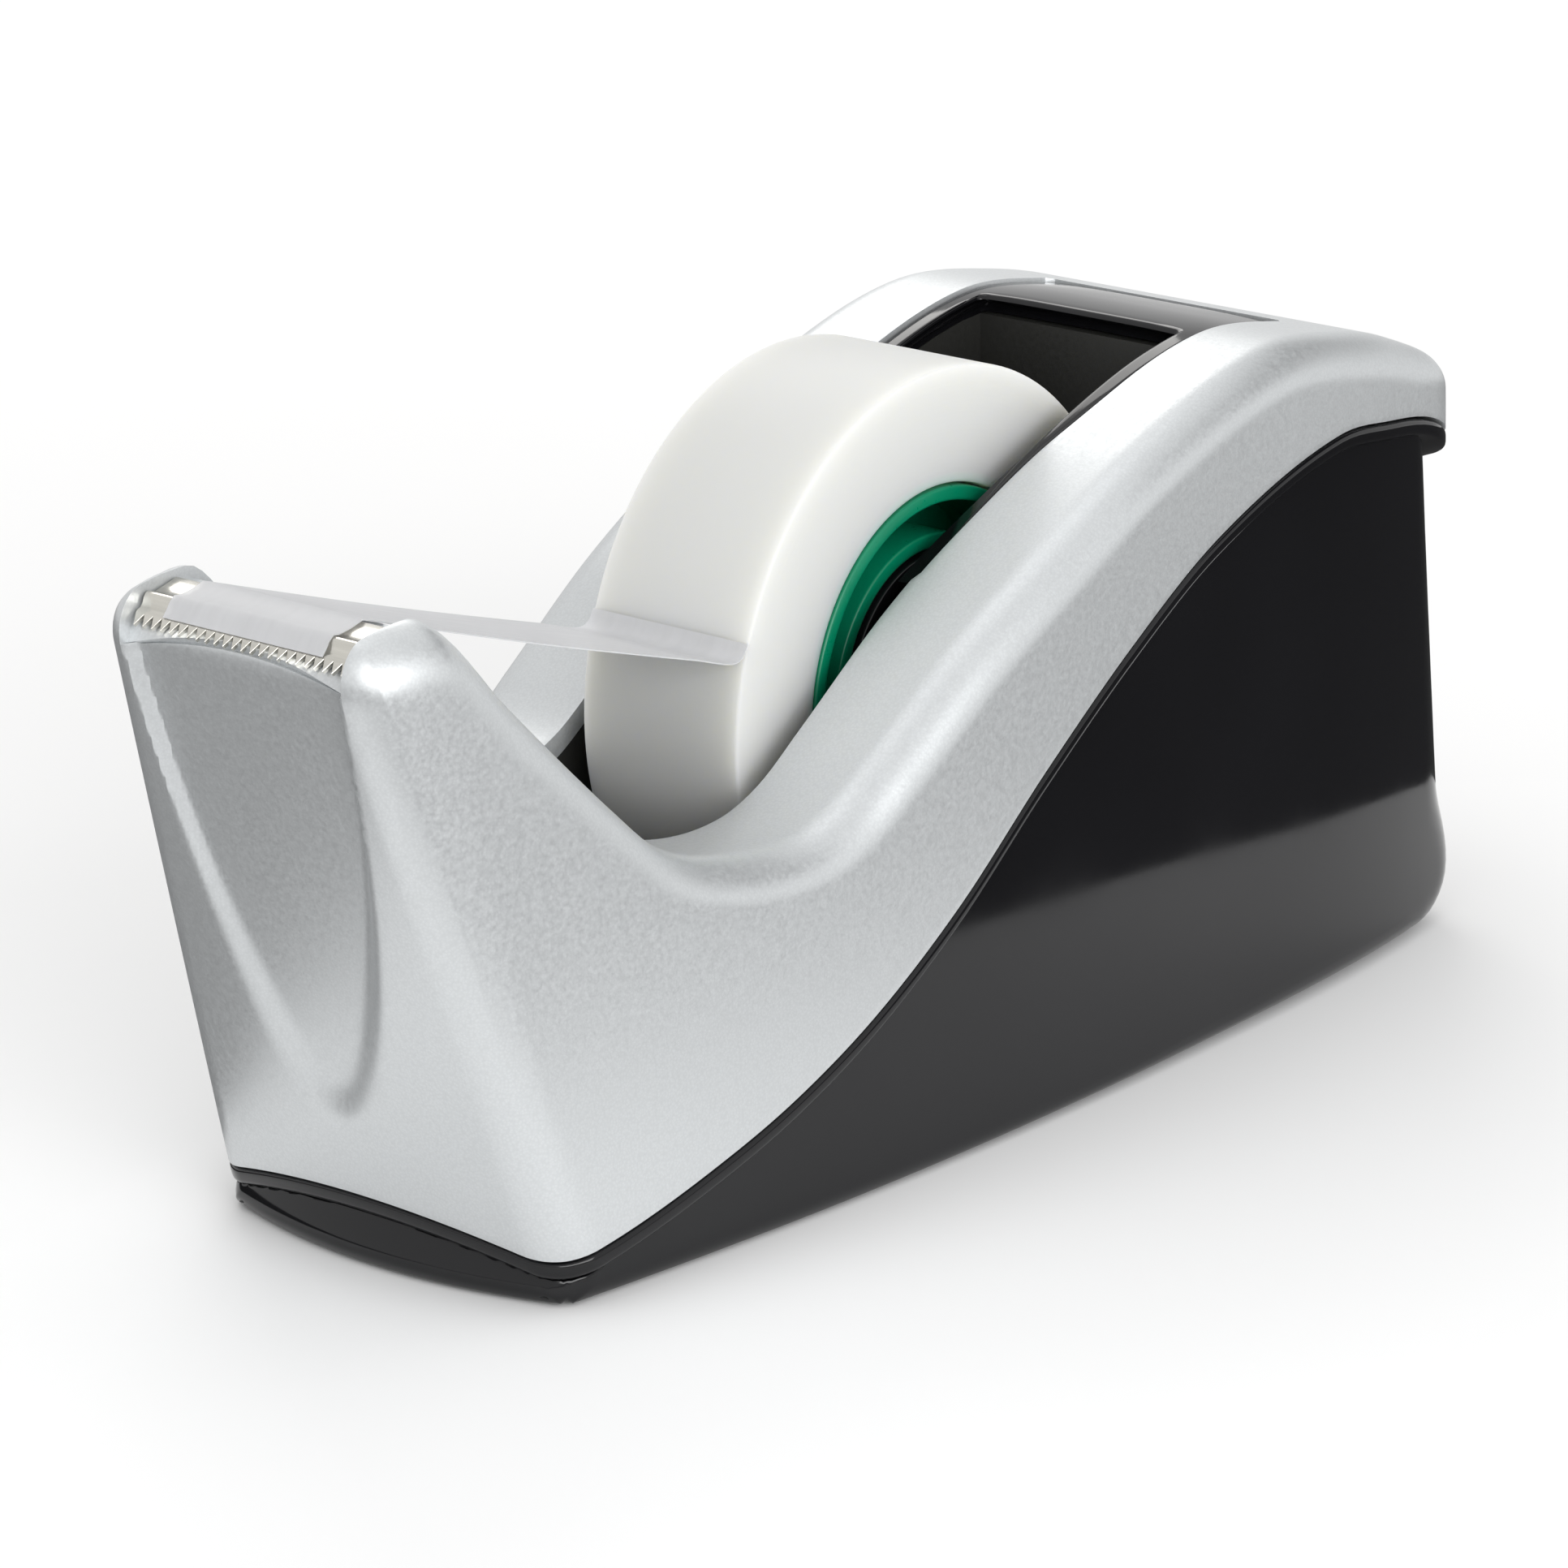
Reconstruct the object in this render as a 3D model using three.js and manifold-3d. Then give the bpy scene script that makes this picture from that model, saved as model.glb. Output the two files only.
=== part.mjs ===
// Desktop tape dispenser: a satin shell over a gloss base, with a roll of tape on a lift-out hub.
// Millimetres, +Z up. The origin is under the middle of the base, on the surface it stands on.
// The nose and its blade face -X. The roll turns about an axle along Y.
import * as THREE from 'three';
import { mergeVertices } from 'three/addons/utils/BufferGeometryUtils.js';
import Module from 'manifold-3d';

const wasm = await Module();
wasm.setup();

// ---------------------------------------------------------------- driving dimensions
const bodyLength = 168.5;
const bodyHalfWidth = 29.1; // at the widest station, at the foot
const widestX = 29;
const noseNarrowing = 10.5; // how much narrower each side is at the nose
const tailNarrowing = 5;
const draft = 0.04; // each side leans in by this much per millimetre of height
const crestHeight = 69.3;
const crestX = 42.75;
const noseHeight = 66.9;
const valleyHeight = 36.8;
const valleyX = -31;
const shoulderHeight = 58.9; // highest point of the seam between shell and base
const shoulderX = 52;
const lipHeight = 50.3; // tip of the rear lip
const footHeight = 4.3; // where the seam starts, at the nose
const archRise = 2.8; // how far the seam rises in the middle of the nose
const noseLean = 0.305; // run of the front face per millimetre of height
const noseCorner = 4; // radius of the nose's two upright edges
const edgeRound = 4.5;
const tailCorner = 12;
const shellWall = 2;
const noseWall = 5;
const baseInset = 0.9; // the base walls stand in from the shell by this much
const baseWall = 2;
const beadHeight = 2;
const baseRearInset = 7; // the rear wall of the base stands in under the lip
const baseRearLean = 0.12;
const baseRearRound = 13;
const baseFrontBow = 4.1; // how far the front of the base bows forward
const baseFrontReach = 0.45; // the bow's middle reaches past the foot of the nose
const baseCorner = 10;
const padThickness = 1.1;
const padInset = 1;
const plateThickness = 2.6;
const seamGap = 0.3; // between pieces that rest on each other

const rollX = 6.75;
const rollHeight = 41; // height of the roll's axis
const rollRadius = 31;
const tapeWidth = 19;
const coreRadius = 19.05;
const coreBore = 12.7;
const coreWall = 1.5;
const coreWeb = 2;
const axleRadius = 3;
const axleEndGap = 0.6;
const hubWall = 1.5;
const hubRecess = 0.7; // the hub ends this far inside the roll's faces

const wellSideGap = 3; // from the roll's faces to the walls of the well
const wellRearGap = 5.3;
const wellFloorGap = 2;
const wellFrontGap = 5.75; // from the front of the roll to the front of the well's floor
const noseDepth = 18.5; // from the nose's crest back to the well
const wellFrontDrop = 4; // the well's front wall starts this far under the ridge line
const wellWall = 1.6;
const trimWidth = 2; // the gloss strips beside the well
const trimReach = 7.7; // the strips start this far in front of the axle
const panelLength = 14.7; // the gloss panel behind the well
const panelThickness = 2;
const cradleGap = 0.6; // from the roll's faces to the cradles
const cradleHalfLength = 9;
const cradleRise = 6; // above the roll's axis

const bladeHalfWidth = 12.9;
const bladeThickness = 0.7;
const toothCount = 24;
const toothDepth = 0.9;
const bladeSetback = 2.25; // from the tip of the nose to the teeth
const bladeDrop = 3.4; // from the nose's crest down to the teeth
const bladeSlope = [2.5, 1.6]; // run and rise from the teeth to the landing
const bladeLanding = [3.9, 1]; // run and rise of the landing that the tape sticks to
const bladeHook = [1, -1.6]; // the bent rear edge
const scoopHalfWidth = 13.2;
const scoopDepth = 1.6;
const scoopFoot = 15;
const scoopDrop = 5.1; // from the nose's crest down to the top of the scoop
const tapeThickness = 0.4;
const tapePeelAngle = 163; // degrees round the roll where the free tape leaves it

const screwRadius = 1;
const screwLength = 12;
const headRadius = 2.6;
const headHeight = 1.4;
const postRadius = 3.6;
const screwFrontReach = 34.25;
const screwRearReach = 24.25;
const ballastGap = 0.8;
const frontBallastTop = 30;

// ---------------------------------------------------------------- derived places
const frontX = -bodyLength / 2;
const rearX = bodyLength / 2;
const noseCrest = [frontX + 7.75, noseHeight];
const scoopTop = noseHeight - scoopDrop;
const valley = [valleyX, valleyHeight];
const crest = [crestX, crestHeight];
const lip = [rearX, lipHeight];
const foot = [frontX + noseLean * (scoopTop - footHeight), footHeight];
const shoulder = [shoulderX, shoulderHeight];
const wellHalfWidth = tapeWidth / 2 + wellSideGap;
const wellFrontX = noseCrest[0] + noseDepth;
const wellFloorFrontX = rollX - rollRadius - wellFrontGap;
const wellRearX = rollX + rollRadius + wellRearGap;
const wellFloor = rollHeight - rollRadius - wellFloorGap;
const panelRearX = wellRearX + panelLength;
const trimFrontX = rollX - trimReach;
const trimHalfWidth = wellHalfWidth + trimWidth;
const baseFloor = padThickness + seamGap;
const plateTop = baseFloor + plateThickness;
const screwXs = [frontX + screwFrontReach, rearX - screwRearReach];
const further = (from, run) => [from[0] + run[0], from[1] + run[1]];
const bladeTip = [frontX + bladeSetback, noseHeight - bladeDrop];
const bladeBend = further(bladeTip, bladeSlope);
const bladeBack = further(bladeBend, bladeLanding);
const baseFrontX = foot[0] - baseFrontReach;
const baseRearX = rearX - baseRearInset + baseRearLean * lipHeight;
const floorRearX = baseRearX - baseRearRound - baseWall - seamGap; // where the bottom plate ends
const far = 200; // longer than the object, for cutting blocks

// ---------------------------------------------------------------- outlines
// Points between two ends, each as a share of the run and of the rise.
const between = (start, end, shares) =>
  shares.map(([run, rise]) => [
    THREE.MathUtils.lerp(start[0], end[0], run),
    THREE.MathUtils.lerp(start[1], end[1], rise),
  ]);

const heightOver = (points) => {
  const curve = new THREE.CubicInterpolant(points.map((p) => p[0]), points.map((p) => p[1]), 1);
  return (x) => curve.evaluate(x)[0];
};

// The ridge line of the shell, from the nose over the valley and the crest to the rear lip.
const roof = heightOver([
  [frontX, noseHeight - 4.2],
  [frontX + 1.2, noseHeight - 2.4],
  [frontX + 3.5, noseHeight - 0.8],
  noseCrest,
  ...between(noseCrest, valley, [[0.08, 0.02], [0.247, 0.309], [0.511, 0.728], [0.621, 0.88], [0.75, 0.965]]),
  valley,
  ...between(valley, crest, [[0.083, 0.055], [0.168, 0.175], [0.336, 0.425], [0.509, 0.63], [0.687, 0.82]]),
  crest,
  ...between(crest, lip, [[0.337, 0.079], [0.6, 0.23], [0.82, 0.463], [0.92, 0.674]]),
  lip,
]);

// The seam between shell and base, seen from the side.
const seam = heightOver([
  foot,
  ...between(foot, shoulder, [
    [0.084, 0.035], [0.171, 0.088], [0.264, 0.159], [0.359, 0.258],
    [0.461, 0.399], [0.57, 0.582], [0.687, 0.753], [0.808, 0.892],
  ]),
  shoulder,
  ...between(shoulder, lip, [[0.268, 0.079], [0.612, 0.326]]),
  [lip[0], lip[1] - 0.6],
]);

// Half the width of the body at x and height z, with the rear corners rounded in plan.
function halfWidthAt(x, z, inset, endX, corner) {
  const toNose = Math.max(0, (widestX - x) / (widestX - frontX));
  const toTail = Math.max(0, (x - widestX) / (rearX - widestX));
  const wall = bodyHalfWidth - noseNarrowing * toNose ** 2 - tailNarrowing * toTail ** 3 - draft * z - inset;
  const intoCorner = THREE.MathUtils.clamp(x - (endX - corner), 0, corner);
  return wall - corner + Math.sqrt(corner ** 2 - intoCorner ** 2);
}

const steps = (from, to, count) => Array.from({ length: count }, (_, i) => from + ((to - from) * i) / count);
const stationsTo = (endX) => [
  ...steps(frontX, frontX + 14, 8),
  ...steps(frontX + 14, endX - 14, 30),
  ...steps(endX - 14, endX - 4, 5),
  ...steps(endX - 4, endX, 4),
  endX,
];

// ---------------------------------------------------------------- solids
function solid(geometry) {
  geometry.deleteAttribute('normal');
  geometry.deleteAttribute('uv');
  const merged = mergeVertices(geometry, 1e-4);
  return new wasm.Manifold(new wasm.Mesh({
    numProp: 3,
    vertProperties: new Float32Array(merged.attributes.position.array),
    triVerts: new Uint32Array(merged.index.array),
  }));
}

function geometryOf(manifold) {
  const { vertProperties, triVerts } = manifold.getMesh();
  const geometry = new THREE.BufferGeometry();
  geometry.setAttribute('position', new THREE.BufferAttribute(vertProperties, 3));
  geometry.setIndex(new THREE.BufferAttribute(triVerts, 1));
  geometry.computeVertexNormals();
  return geometry;
}

const outline = (points) => new THREE.Shape(points.map(([a, b]) => new THREE.Vector2(a, b)));
const extrude = (shape, depth) =>
  new THREE.ExtrudeGeometry(shape, { depth, bevelEnabled: false, curveSegments: 10 });

// A side outline in X and Z, carried across from one Y to another.
const acrossY = (shape, fromY, toY) =>
  solid(extrude(shape, toY - fromY).rotateX(Math.PI / 2).translate(0, toY, 0));
// A plan outline in X and Y, carried up from one height to another.
const upZ = (shape, fromZ, toZ) => solid(extrude(shape, toZ - fromZ).translate(0, 0, fromZ));
// A front outline in Y and Z, carried back from one X to another.
const backX = (shape, fromX, toX) =>
  solid(extrude(shape, toX - fromX).rotateX(Math.PI / 2).rotateZ(Math.PI / 2).translate(fromX, 0, 0));
const block = (x0, x1, y0, y1, z0, z1) =>
  solid(new THREE.BoxGeometry(x1 - x0, y1 - y0, z1 - z0)
    .translate((x0 + x1) / 2, (y0 + y1) / 2, (z0 + z1) / 2));
const post = (radius, x, y, z0, z1, sides = 20) =>
  solid(new THREE.CylinderGeometry(radius, radius, z1 - z0, sides)
    .rotateX(Math.PI / 2).translate(x, y, (z0 + z1) / 2));
// A ring or disc turned about the roll's axis from a closed [radius, y] profile.
const turned = (profile, sides = 40) =>
  new THREE.LatheGeometry([...profile, profile[0]].map(([r, y]) => new THREE.Vector2(r, y)), sides);

// Reshapes a box of nx by ny by 1 cells, given a place for each [column, row, top].
function shapedBox(nx, ny, place) {
  const geometry = new THREE.BoxGeometry(1, 1, 1, nx, ny, 1);
  const position = geometry.attributes.position;
  for (let i = 0; i < position.count; i += 1) {
    const column = Math.round((position.getX(i) + 0.5) * nx);
    const row = Math.round((position.getY(i) + 0.5) * ny);
    position.setXYZ(i, ...place(column, row, position.getZ(i) > 0));
  }
  return solid(geometry);
}

const beyondFront = (inset) => {
  const x0 = foot[0] + inset * Math.hypot(1, noseLean);
  return acrossY(outline([
    [-far, -far], [x0 + noseLean * (far + footHeight), -far], [x0 - noseLean * (far - footHeight), far], [-far, far],
  ]), -far, far);
};

// The material outside the nose's two rounded upright edges, which lean and draw in with the nose.
function beyondCorners(inset) {
  const cutterFor = (side) => {
    const shape = new THREE.Shape();
    shape.moveTo(-1, -noseCorner);
    shape.lineTo(0, -noseCorner);
    shape.absarc(noseCorner, -noseCorner, noseCorner, Math.PI, Math.PI / 2, true);
    shape.lineTo(noseCorner, 1);
    shape.lineTo(-1, 1);
    const geometry = extrude(shape, crestHeight);
    if (side < 0) geometry.rotateX(Math.PI).translate(0, 0, crestHeight);
    const position = geometry.attributes.position;
    for (let i = 0; i < position.count; i += 1) {
      const z = position.getZ(i);
      const edgeX = foot[0] - noseLean * (z - footHeight) + inset;
      const edgeY = halfWidthAt(edgeX, z, inset, rearX, tailCorner);
      position.setXYZ(i, position.getX(i) + edgeX, position.getY(i) + side * edgeY, z);
    }
    return solid(geometry);
  };
  return cutterFor(1).add(cutterFor(-1));
}

// The body under the ridge line, with rounded upper edges, made smaller by inset all round.
function bodyUnderRoof(inset, frontInset) {
  const round = edgeRound - Math.min(inset, edgeRound - 1);
  const xs = stationsTo(rearX - inset);
  const arc = [0, 30, 60, 90].map(THREE.MathUtils.degToRad);
  const rows = [...arc.map((a) => [-1, a]), ...arc.toReversed().map((a) => [1, a])];
  const roofAt = (x) => {
    const slope = (roof(x + 0.2) - roof(x - 0.2)) / 0.4;
    return roof(x) - inset * Math.min(3, Math.hypot(1, slope));
  };
  return shapedBox(xs.length - 1, rows.length - 1, (column, row, top) => {
    const x = xs[column];
    const [side, angle] = rows[row];
    const eaves = roofAt(x) - round;
    const z = top ? eaves + round * Math.sin(angle) : 0;
    const wall = halfWidthAt(x, top ? eaves : 0, inset, rearX - inset, tailCorner - inset);
    return [x, side * (wall - round * (1 - Math.cos(angle))), z];
  }).subtract(beyondFront(frontInset));
}
const outerBody = () => bodyUnderRoof(0, 0).subtract(beyondCorners(0));

// The base's straight walls, with a bowed front and a rear wall that leans in as it rises.
function baseBlock(inset) {
  const xs = stationsTo(baseRearX - inset);
  const height = crestHeight;
  return shapedBox(xs.length - 1, 1, (column, row, top) => {
    const z = top ? height : 0;
    const x = xs[column];
    const y = (row ? 1 : -1) * halfWidthAt(x, z, inset, baseRearX - inset, baseCorner - inset);
    const lean = baseRearLean * z * Math.max(0, (x - widestX) / (baseRearX - widestX));
    return [x - lean, y, z];
  });
}

// Everything in front of the base's bowed front, in plan.
function beyondBow(inset) {
  const halfChord = halfWidthAt(baseFrontX + baseFrontBow, 0, baseInset, rearX, tailCorner);
  const radius = (halfChord ** 2 + baseFrontBow ** 2) / (2 * baseFrontBow);
  const bow = post(radius - inset, baseFrontX + radius, 0, -1, far, 160);
  return block(-far, baseFrontX + baseFrontBow + inset + 1, -far, far, -1, far).subtract(bow);
}

// The side outline of the base: flat foot, rounded rear corner, leaning rear wall.
function baseSide(inset) {
  const shape = new THREE.Shape();
  const radius = baseRearRound - inset;
  const centreX = baseRearX - baseRearRound;
  const angle = Math.atan(baseRearLean);
  const bottom = baseRearRound - radius;
  shape.moveTo(-far, bottom);
  shape.lineTo(centreX, bottom);
  shape.absarc(centreX, baseRearRound, radius, -Math.PI / 2, angle, false);
  shape.lineTo(centreX + radius * Math.cos(angle) - baseRearLean * far, far);
  shape.lineTo(-far, far);
  return acrossY(shape, -far, far);
}

// Below the seam, lowered by drop; the rear end reaches past the lip.
const belowSeam = (drop) => {
  const xs = [...steps(foot[0], rearX, 44), rearX];
  return acrossY(outline([
    [-far, -far], [-far, foot[1] - drop], ...xs.map((x) => [x, seam(x) - drop]),
    [far, seam(rearX) - drop], [far, -far],
  ]), -far, far);
};
// The arch under the nose, seen from the front.
const arch = (drop, toX) => {
  const half = halfWidthAt(foot[0], footHeight, baseInset, rearX, tailCorner) - drop;
  const shape = new THREE.Shape();
  shape.moveTo(-half, -1);
  shape.lineTo(-half, footHeight - drop);
  shape.quadraticCurveTo(0, footHeight - drop + 2 * archRise, half, footHeight - drop);
  shape.lineTo(half, -1);
  return backX(shape, frontX, toX);
};

// ---------------------------------------------------------------- materials
const satinSilver = { color: 0xc6c9cb, roughness: 0.42, metalness: 0.75 };
const glossBlack = { color: 0x0b0b0c, roughness: 0.08, metalness: 0 };
const wellBlack = { color: 0x1c1c1b, roughness: 0.4, metalness: 0 };
const nickel = { color: 0xcfcabb, roughness: 0.22, metalness: 1 };
const castIron = { color: 0x4a4a48, roughness: 0.75, metalness: 0.9 };
const zincSteel = { color: 0xa9acb0, roughness: 0.3, metalness: 1 };
const greyFoam = { color: 0x3a3b3d, roughness: 0.95, metalness: 0 };
const greenCore = { color: 0x006e4b, roughness: 0.35, metalness: 0 };
const matteTape = { color: 0xe9eae4, roughness: 0.55, metalness: 0 };

const dispenser = new THREE.Group();
function add(name, shape, look, parent = dispenser) {
  const geometry = shape.isBufferGeometry ? shape : geometryOf(shape);
  const mesh = new THREE.Mesh(geometry, new THREE.MeshStandardMaterial(look));
  mesh.name = name;
  parent.add(mesh);
}

// ---------------------------------------------------------------- cutting blade
// A bent strip: a flat landing for the tape, then a slope down to the teeth.
const bladeSheet = (lift) => [bladeTip, bladeBend, bladeBack, further(bladeBack, bladeHook)]
  .map(([x, z]) => [x, z + lift]);
const bladeOutline = (lift, drop) => outline([...bladeSheet(lift), ...bladeSheet(drop).reverse()]);

function cuttingBlade() {
  const pitch = (2 * bladeHalfWidth) / toothCount;
  let blade = acrossY(bladeOutline(0, -bladeThickness), -bladeHalfWidth, bladeHalfWidth);
  for (let i = 0; i <= toothCount; i += 1) {
    const y = -bladeHalfWidth + i * pitch;
    const notch = outline([
      [bladeTip[0] - 1, y - pitch], [bladeTip[0] - 1, y + pitch],
      [bladeTip[0], y + pitch / 2], [bladeTip[0] + toothDepth, y], [bladeTip[0], y - pitch / 2],
    ]);
    blade = blade.subtract(upZ(notch, bladeTip[1] - 3, bladeTip[1] + 3));
  }
  return blade;
}

// ---------------------------------------------------------------- top shell
// The channel between the cheeks, with a floor that carries the blade and falls to the well.
const channelFloor = (drop) => [
  [-far, scoopTop - drop],
  [bladeTip[0] - 0.3, scoopTop - drop],
  ...bladeSheet(-bladeThickness - 1.5 * seamGap - drop),
  [bladeBack[0] + bladeHook[0] + 1.5 * seamGap, bladeBack[1] + 1.5 * bladeHook[1] - drop],
  ...steps(bladeBack[0] + 4, wellFrontX, 4).map((x) => [x, roof(x) - shellWall - drop]),
  [wellFrontX, roof(wellFrontX) - shellWall - drop],
];
const channel = (drop, halfWidth) => {
  const floor = channelFloor(drop);
  return acrossY(outline([...floor, [floor.at(-1)[0], far], [-far, far]].reverse()), -halfWidth, halfWidth);
};

// The thumb scoop: a rounded hollow in the front face, deepest under the blade.
function scoop() {
  const height = (scoopTop - scoopFoot) * Math.hypot(1, noseLean);
  const shape = new THREE.Shape();
  shape.moveTo(-scoopHalfWidth, height + 3);
  shape.lineTo(-scoopHalfWidth, height);
  shape.bezierCurveTo(-scoopHalfWidth + 2, height * 0.4, -scoopHalfWidth * 0.6, 0, 0, 0);
  shape.bezierCurveTo(scoopHalfWidth * 0.6, 0, scoopHalfWidth - 2, height * 0.4, scoopHalfWidth, height);
  shape.lineTo(scoopHalfWidth, height + 3);
  const tilt = Math.atan(noseLean) - Math.atan(scoopDepth / height);
  const footX = foot[0] - noseLean * (scoopFoot - footHeight);
  return solid(extrude(shape, 20)
    .rotateX(Math.PI / 2).rotateZ(Math.PI / 2).translate(-20, 0, 0)
    .rotateY(-tilt).translate(footX, 0, scoopFoot));
}

function topShell() {
  const inside = bodyUnderRoof(shellWall, noseWall)
    .subtract(channel(shellWall, bladeHalfWidth + seamGap + shellWall));
  const opening = block(wellFrontX, trimFrontX, -wellHalfWidth, wellHalfWidth, -1, far)
    .add(block(trimFrontX - seamGap, panelRearX + seamGap,
      -trimHalfWidth - seamGap, trimHalfWidth + seamGap, -1, far));
  return outerBody()
    .subtract(inside)
    .subtract(belowSeam(0))
    .subtract(arch(0, foot[0] + noseWall))
    .subtract(channel(0, bladeHalfWidth + seamGap))
    .subtract(opening)
    .subtract(scoop());
}

// ---------------------------------------------------------------- base casing
function screwPlaces() {
  return screwXs.flatMap((x) => [-1, 1].map((side) => {
    const wall = halfWidthAt(x, 0, baseInset + baseWall, rearX, tailCorner);
    return [x, side * (wall - headRadius - 2 * seamGap)];
  }));
}

function baseCasing() {
  const walls = baseBlock(baseInset).intersect(baseSide(0))
    .subtract(beyondBow(0)).subtract(beyondCorners(baseInset));
  const hollow = baseBlock(baseInset + baseWall)
    .intersect(baseSide(baseWall).add(block(-far, floorRearX + seamGap, -far, far, -1, baseRearRound)))
    .subtract(beyondBow(baseWall));
  const bead = outerBody().intersect(belowSeam(seamGap)).subtract(belowSeam(seamGap + beadHeight));
  const brow = arch(seamGap, foot[0] + baseWall)
    .intersect(outerBody())
    .subtract(block(-far, far, -far, far, -1, footHeight - seamGap - beadHeight));
  let casing = walls.intersect(belowSeam(seamGap)).add(bead).add(brow);
  casing = casing.subtract(hollow);
  for (const [x, y] of screwPlaces()) {
    casing = casing.add(post(postRadius, x, y, plateTop + seamGap, baseFloor + screwLength + 3)
      .intersect(baseBlock(shellWall + seamGap)));
    casing = casing.subtract(post(screwRadius + seamGap, x, y, -1, baseFloor + screwLength + 1));
  }
  return casing.subtract(block(-far, far, -far, far, -1, baseFloor));
}

// ---------------------------------------------------------------- tape well and its trim
// The side outline of the well: open above, a sloping front, a flat floor, an upright rear.
const wellSide = (grow) => outline([
  [wellFrontX - grow, far],
  [wellFrontX - grow, roof(wellFrontX) - wellFrontDrop],
  [wellFloorFrontX - grow * 0.6, wellFloor - grow],
  [wellRearX + grow, wellFloor - grow],
  [wellRearX + grow, far],
].reverse());

function tapeWell() {
  const clear = wellHalfWidth + seamGap;
  const ribs = [-0.35, 0.9].map((share) => rollX + share * rollRadius)
    .map((x) => block(x, x + wellWall, -wellHalfWidth, wellHalfWidth, plateTop + seamGap, wellFloor - wellWall / 2));
  const tub = acrossY(wellSide(seamGap + wellWall), -clear - wellWall, clear + wellWall)
    .subtract(acrossY(wellSide(seamGap), -clear, clear));
  return tub
    .intersect(bodyUnderRoof(shellWall + seamGap, noseWall + seamGap))
    .subtract(channel(shellWall + seamGap, far))
    .add(ribs[0])
    .add(ribs[1]);
}

// Gloss strips beside the well and the panel behind it, flush with the shell.
function rearPanel() {
  const skin = bodyUnderRoof(0, 0).subtract(bodyUnderRoof(panelThickness, noseWall));
  return skin
    .intersect(block(trimFrontX, panelRearX, -trimHalfWidth, trimHalfWidth, lipHeight - 10, far))
    .subtract(block(-far, wellRearX, -wellHalfWidth, wellHalfWidth, -1, far));
}

function axleCradle(side) {
  const inner = tapeWidth / 2 + cradleGap;
  const shape = new THREE.Shape();
  const slot = axleRadius + seamGap;
  const top = rollHeight + cradleRise;
  shape.moveTo(rollX - cradleHalfLength, wellFloor);
  shape.lineTo(rollX + cradleHalfLength, wellFloor);
  shape.lineTo(rollX + cradleHalfLength * 0.8, top);
  shape.lineTo(rollX + slot, top);
  shape.lineTo(rollX + slot, rollHeight);
  shape.absarc(rollX, rollHeight, slot, 0, Math.PI, true);
  shape.lineTo(rollX - slot, top);
  shape.lineTo(rollX - cradleHalfLength * 0.8, top);
  const ends = [side * inner, side * wellHalfWidth].sort((a, b) => a - b);
  return acrossY(shape, ...ends);
}

// ---------------------------------------------------------------- foot: plate, pad, ballast, screws
const floorBlock = (inset, z0, z1) => baseBlock(baseInset + inset)
  .intersect(block(-far, floorRearX, -far, far, z0, z1))
  .subtract(beyondBow(inset))
  .subtract(beyondCorners(baseInset + inset));

function bottomPlate() {
  let plate = floorBlock(baseWall + seamGap, baseFloor, plateTop);
  for (const [x, y] of screwPlaces()) {
    plate = plate.subtract(post(screwRadius + seamGap, x, y, -1, plateTop + 1));
    plate = plate.subtract(post(headRadius + seamGap, x, y, -1, baseFloor + headHeight));
  }
  return plate;
}

function gripPad() {
  let pad = floorBlock(padInset, 0, padThickness);
  for (const [x, y] of screwPlaces()) {
    pad = pad.subtract(post(headRadius + 2 * seamGap, x, y, -1, padThickness + 1));
  }
  return pad;
}

const screw = (x, y) => {
  const headTop = baseFloor + headHeight - seamGap;
  return post(headRadius, x, y, baseFloor, headTop)
    .add(post(screwRadius, x, y, headTop - 0.1, baseFloor + screwLength, 12));
};

// Two iron weights: one under the sloping front of the well, one behind the well.
function ballastFront() {
  const halfWidth = screwPlaces()[1][1] - postRadius - ballastGap;
  const start = foot[0] + noseWall + ballastGap;
  return block(start, wellFloorFrontX - wellWall, -halfWidth, halfWidth, plateTop + seamGap, frontBallastTop)
    .subtract(acrossY(wellSide(seamGap + wellWall + ballastGap), -far, far));
}
function ballastRear() {
  const halfWidth = screwPlaces()[3][1] - postRadius - ballastGap;
  const start = wellRearX + wellWall + seamGap + ballastGap;
  return block(start, baseRearX - baseRearRound, -halfWidth, halfWidth, plateTop + seamGap, rollHeight);
}

// ---------------------------------------------------------------- roll, core, hub and axle
const halfTape = tapeWidth / 2;
const ring = (inner, outer, half) => turned([[inner, -half], [outer, -half], [outer, half], [inner, half]], 64);

function tapeCore() {
  const web = coreWeb / 2;
  const innerHalf = halfTape - 1.2;
  return turned([
    [coreBore, -innerHalf], [coreBore + coreWall, -innerHalf], [coreBore + coreWall, -web],
    [coreRadius - coreWall, -web], [coreRadius - coreWall, -halfTape], [coreRadius, -halfTape],
    [coreRadius, halfTape], [coreRadius - coreWall, halfTape], [coreRadius - coreWall, web],
    [coreBore + coreWall, web], [coreBore + coreWall, innerHalf], [coreBore, innerHalf],
  ]);
}

function hubHalf(side) {
  const outer = coreBore - seamGap;
  const bore = axleRadius + seamGap;
  const end = halfTape - hubRecess;
  const webFrom = end - 3.5;
  const profile = [
    [bore, seamGap], [bore + hubWall, seamGap], [bore + hubWall, webFrom], [outer - hubWall, webFrom],
    [outer - hubWall, seamGap], [outer, seamGap], [outer, end], [outer - hubWall, end],
    [outer - hubWall, webFrom + hubWall], [bore + hubWall, webFrom + hubWall], [bore + hubWall, end], [bore, end],
  ];
  return turned(side > 0 ? profile : profile.map(([r, y]) => [r, -y]).reverse());
}

const roll = new THREE.Group();
roll.position.set(rollX, 0, rollHeight);
dispenser.add(roll);

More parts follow.
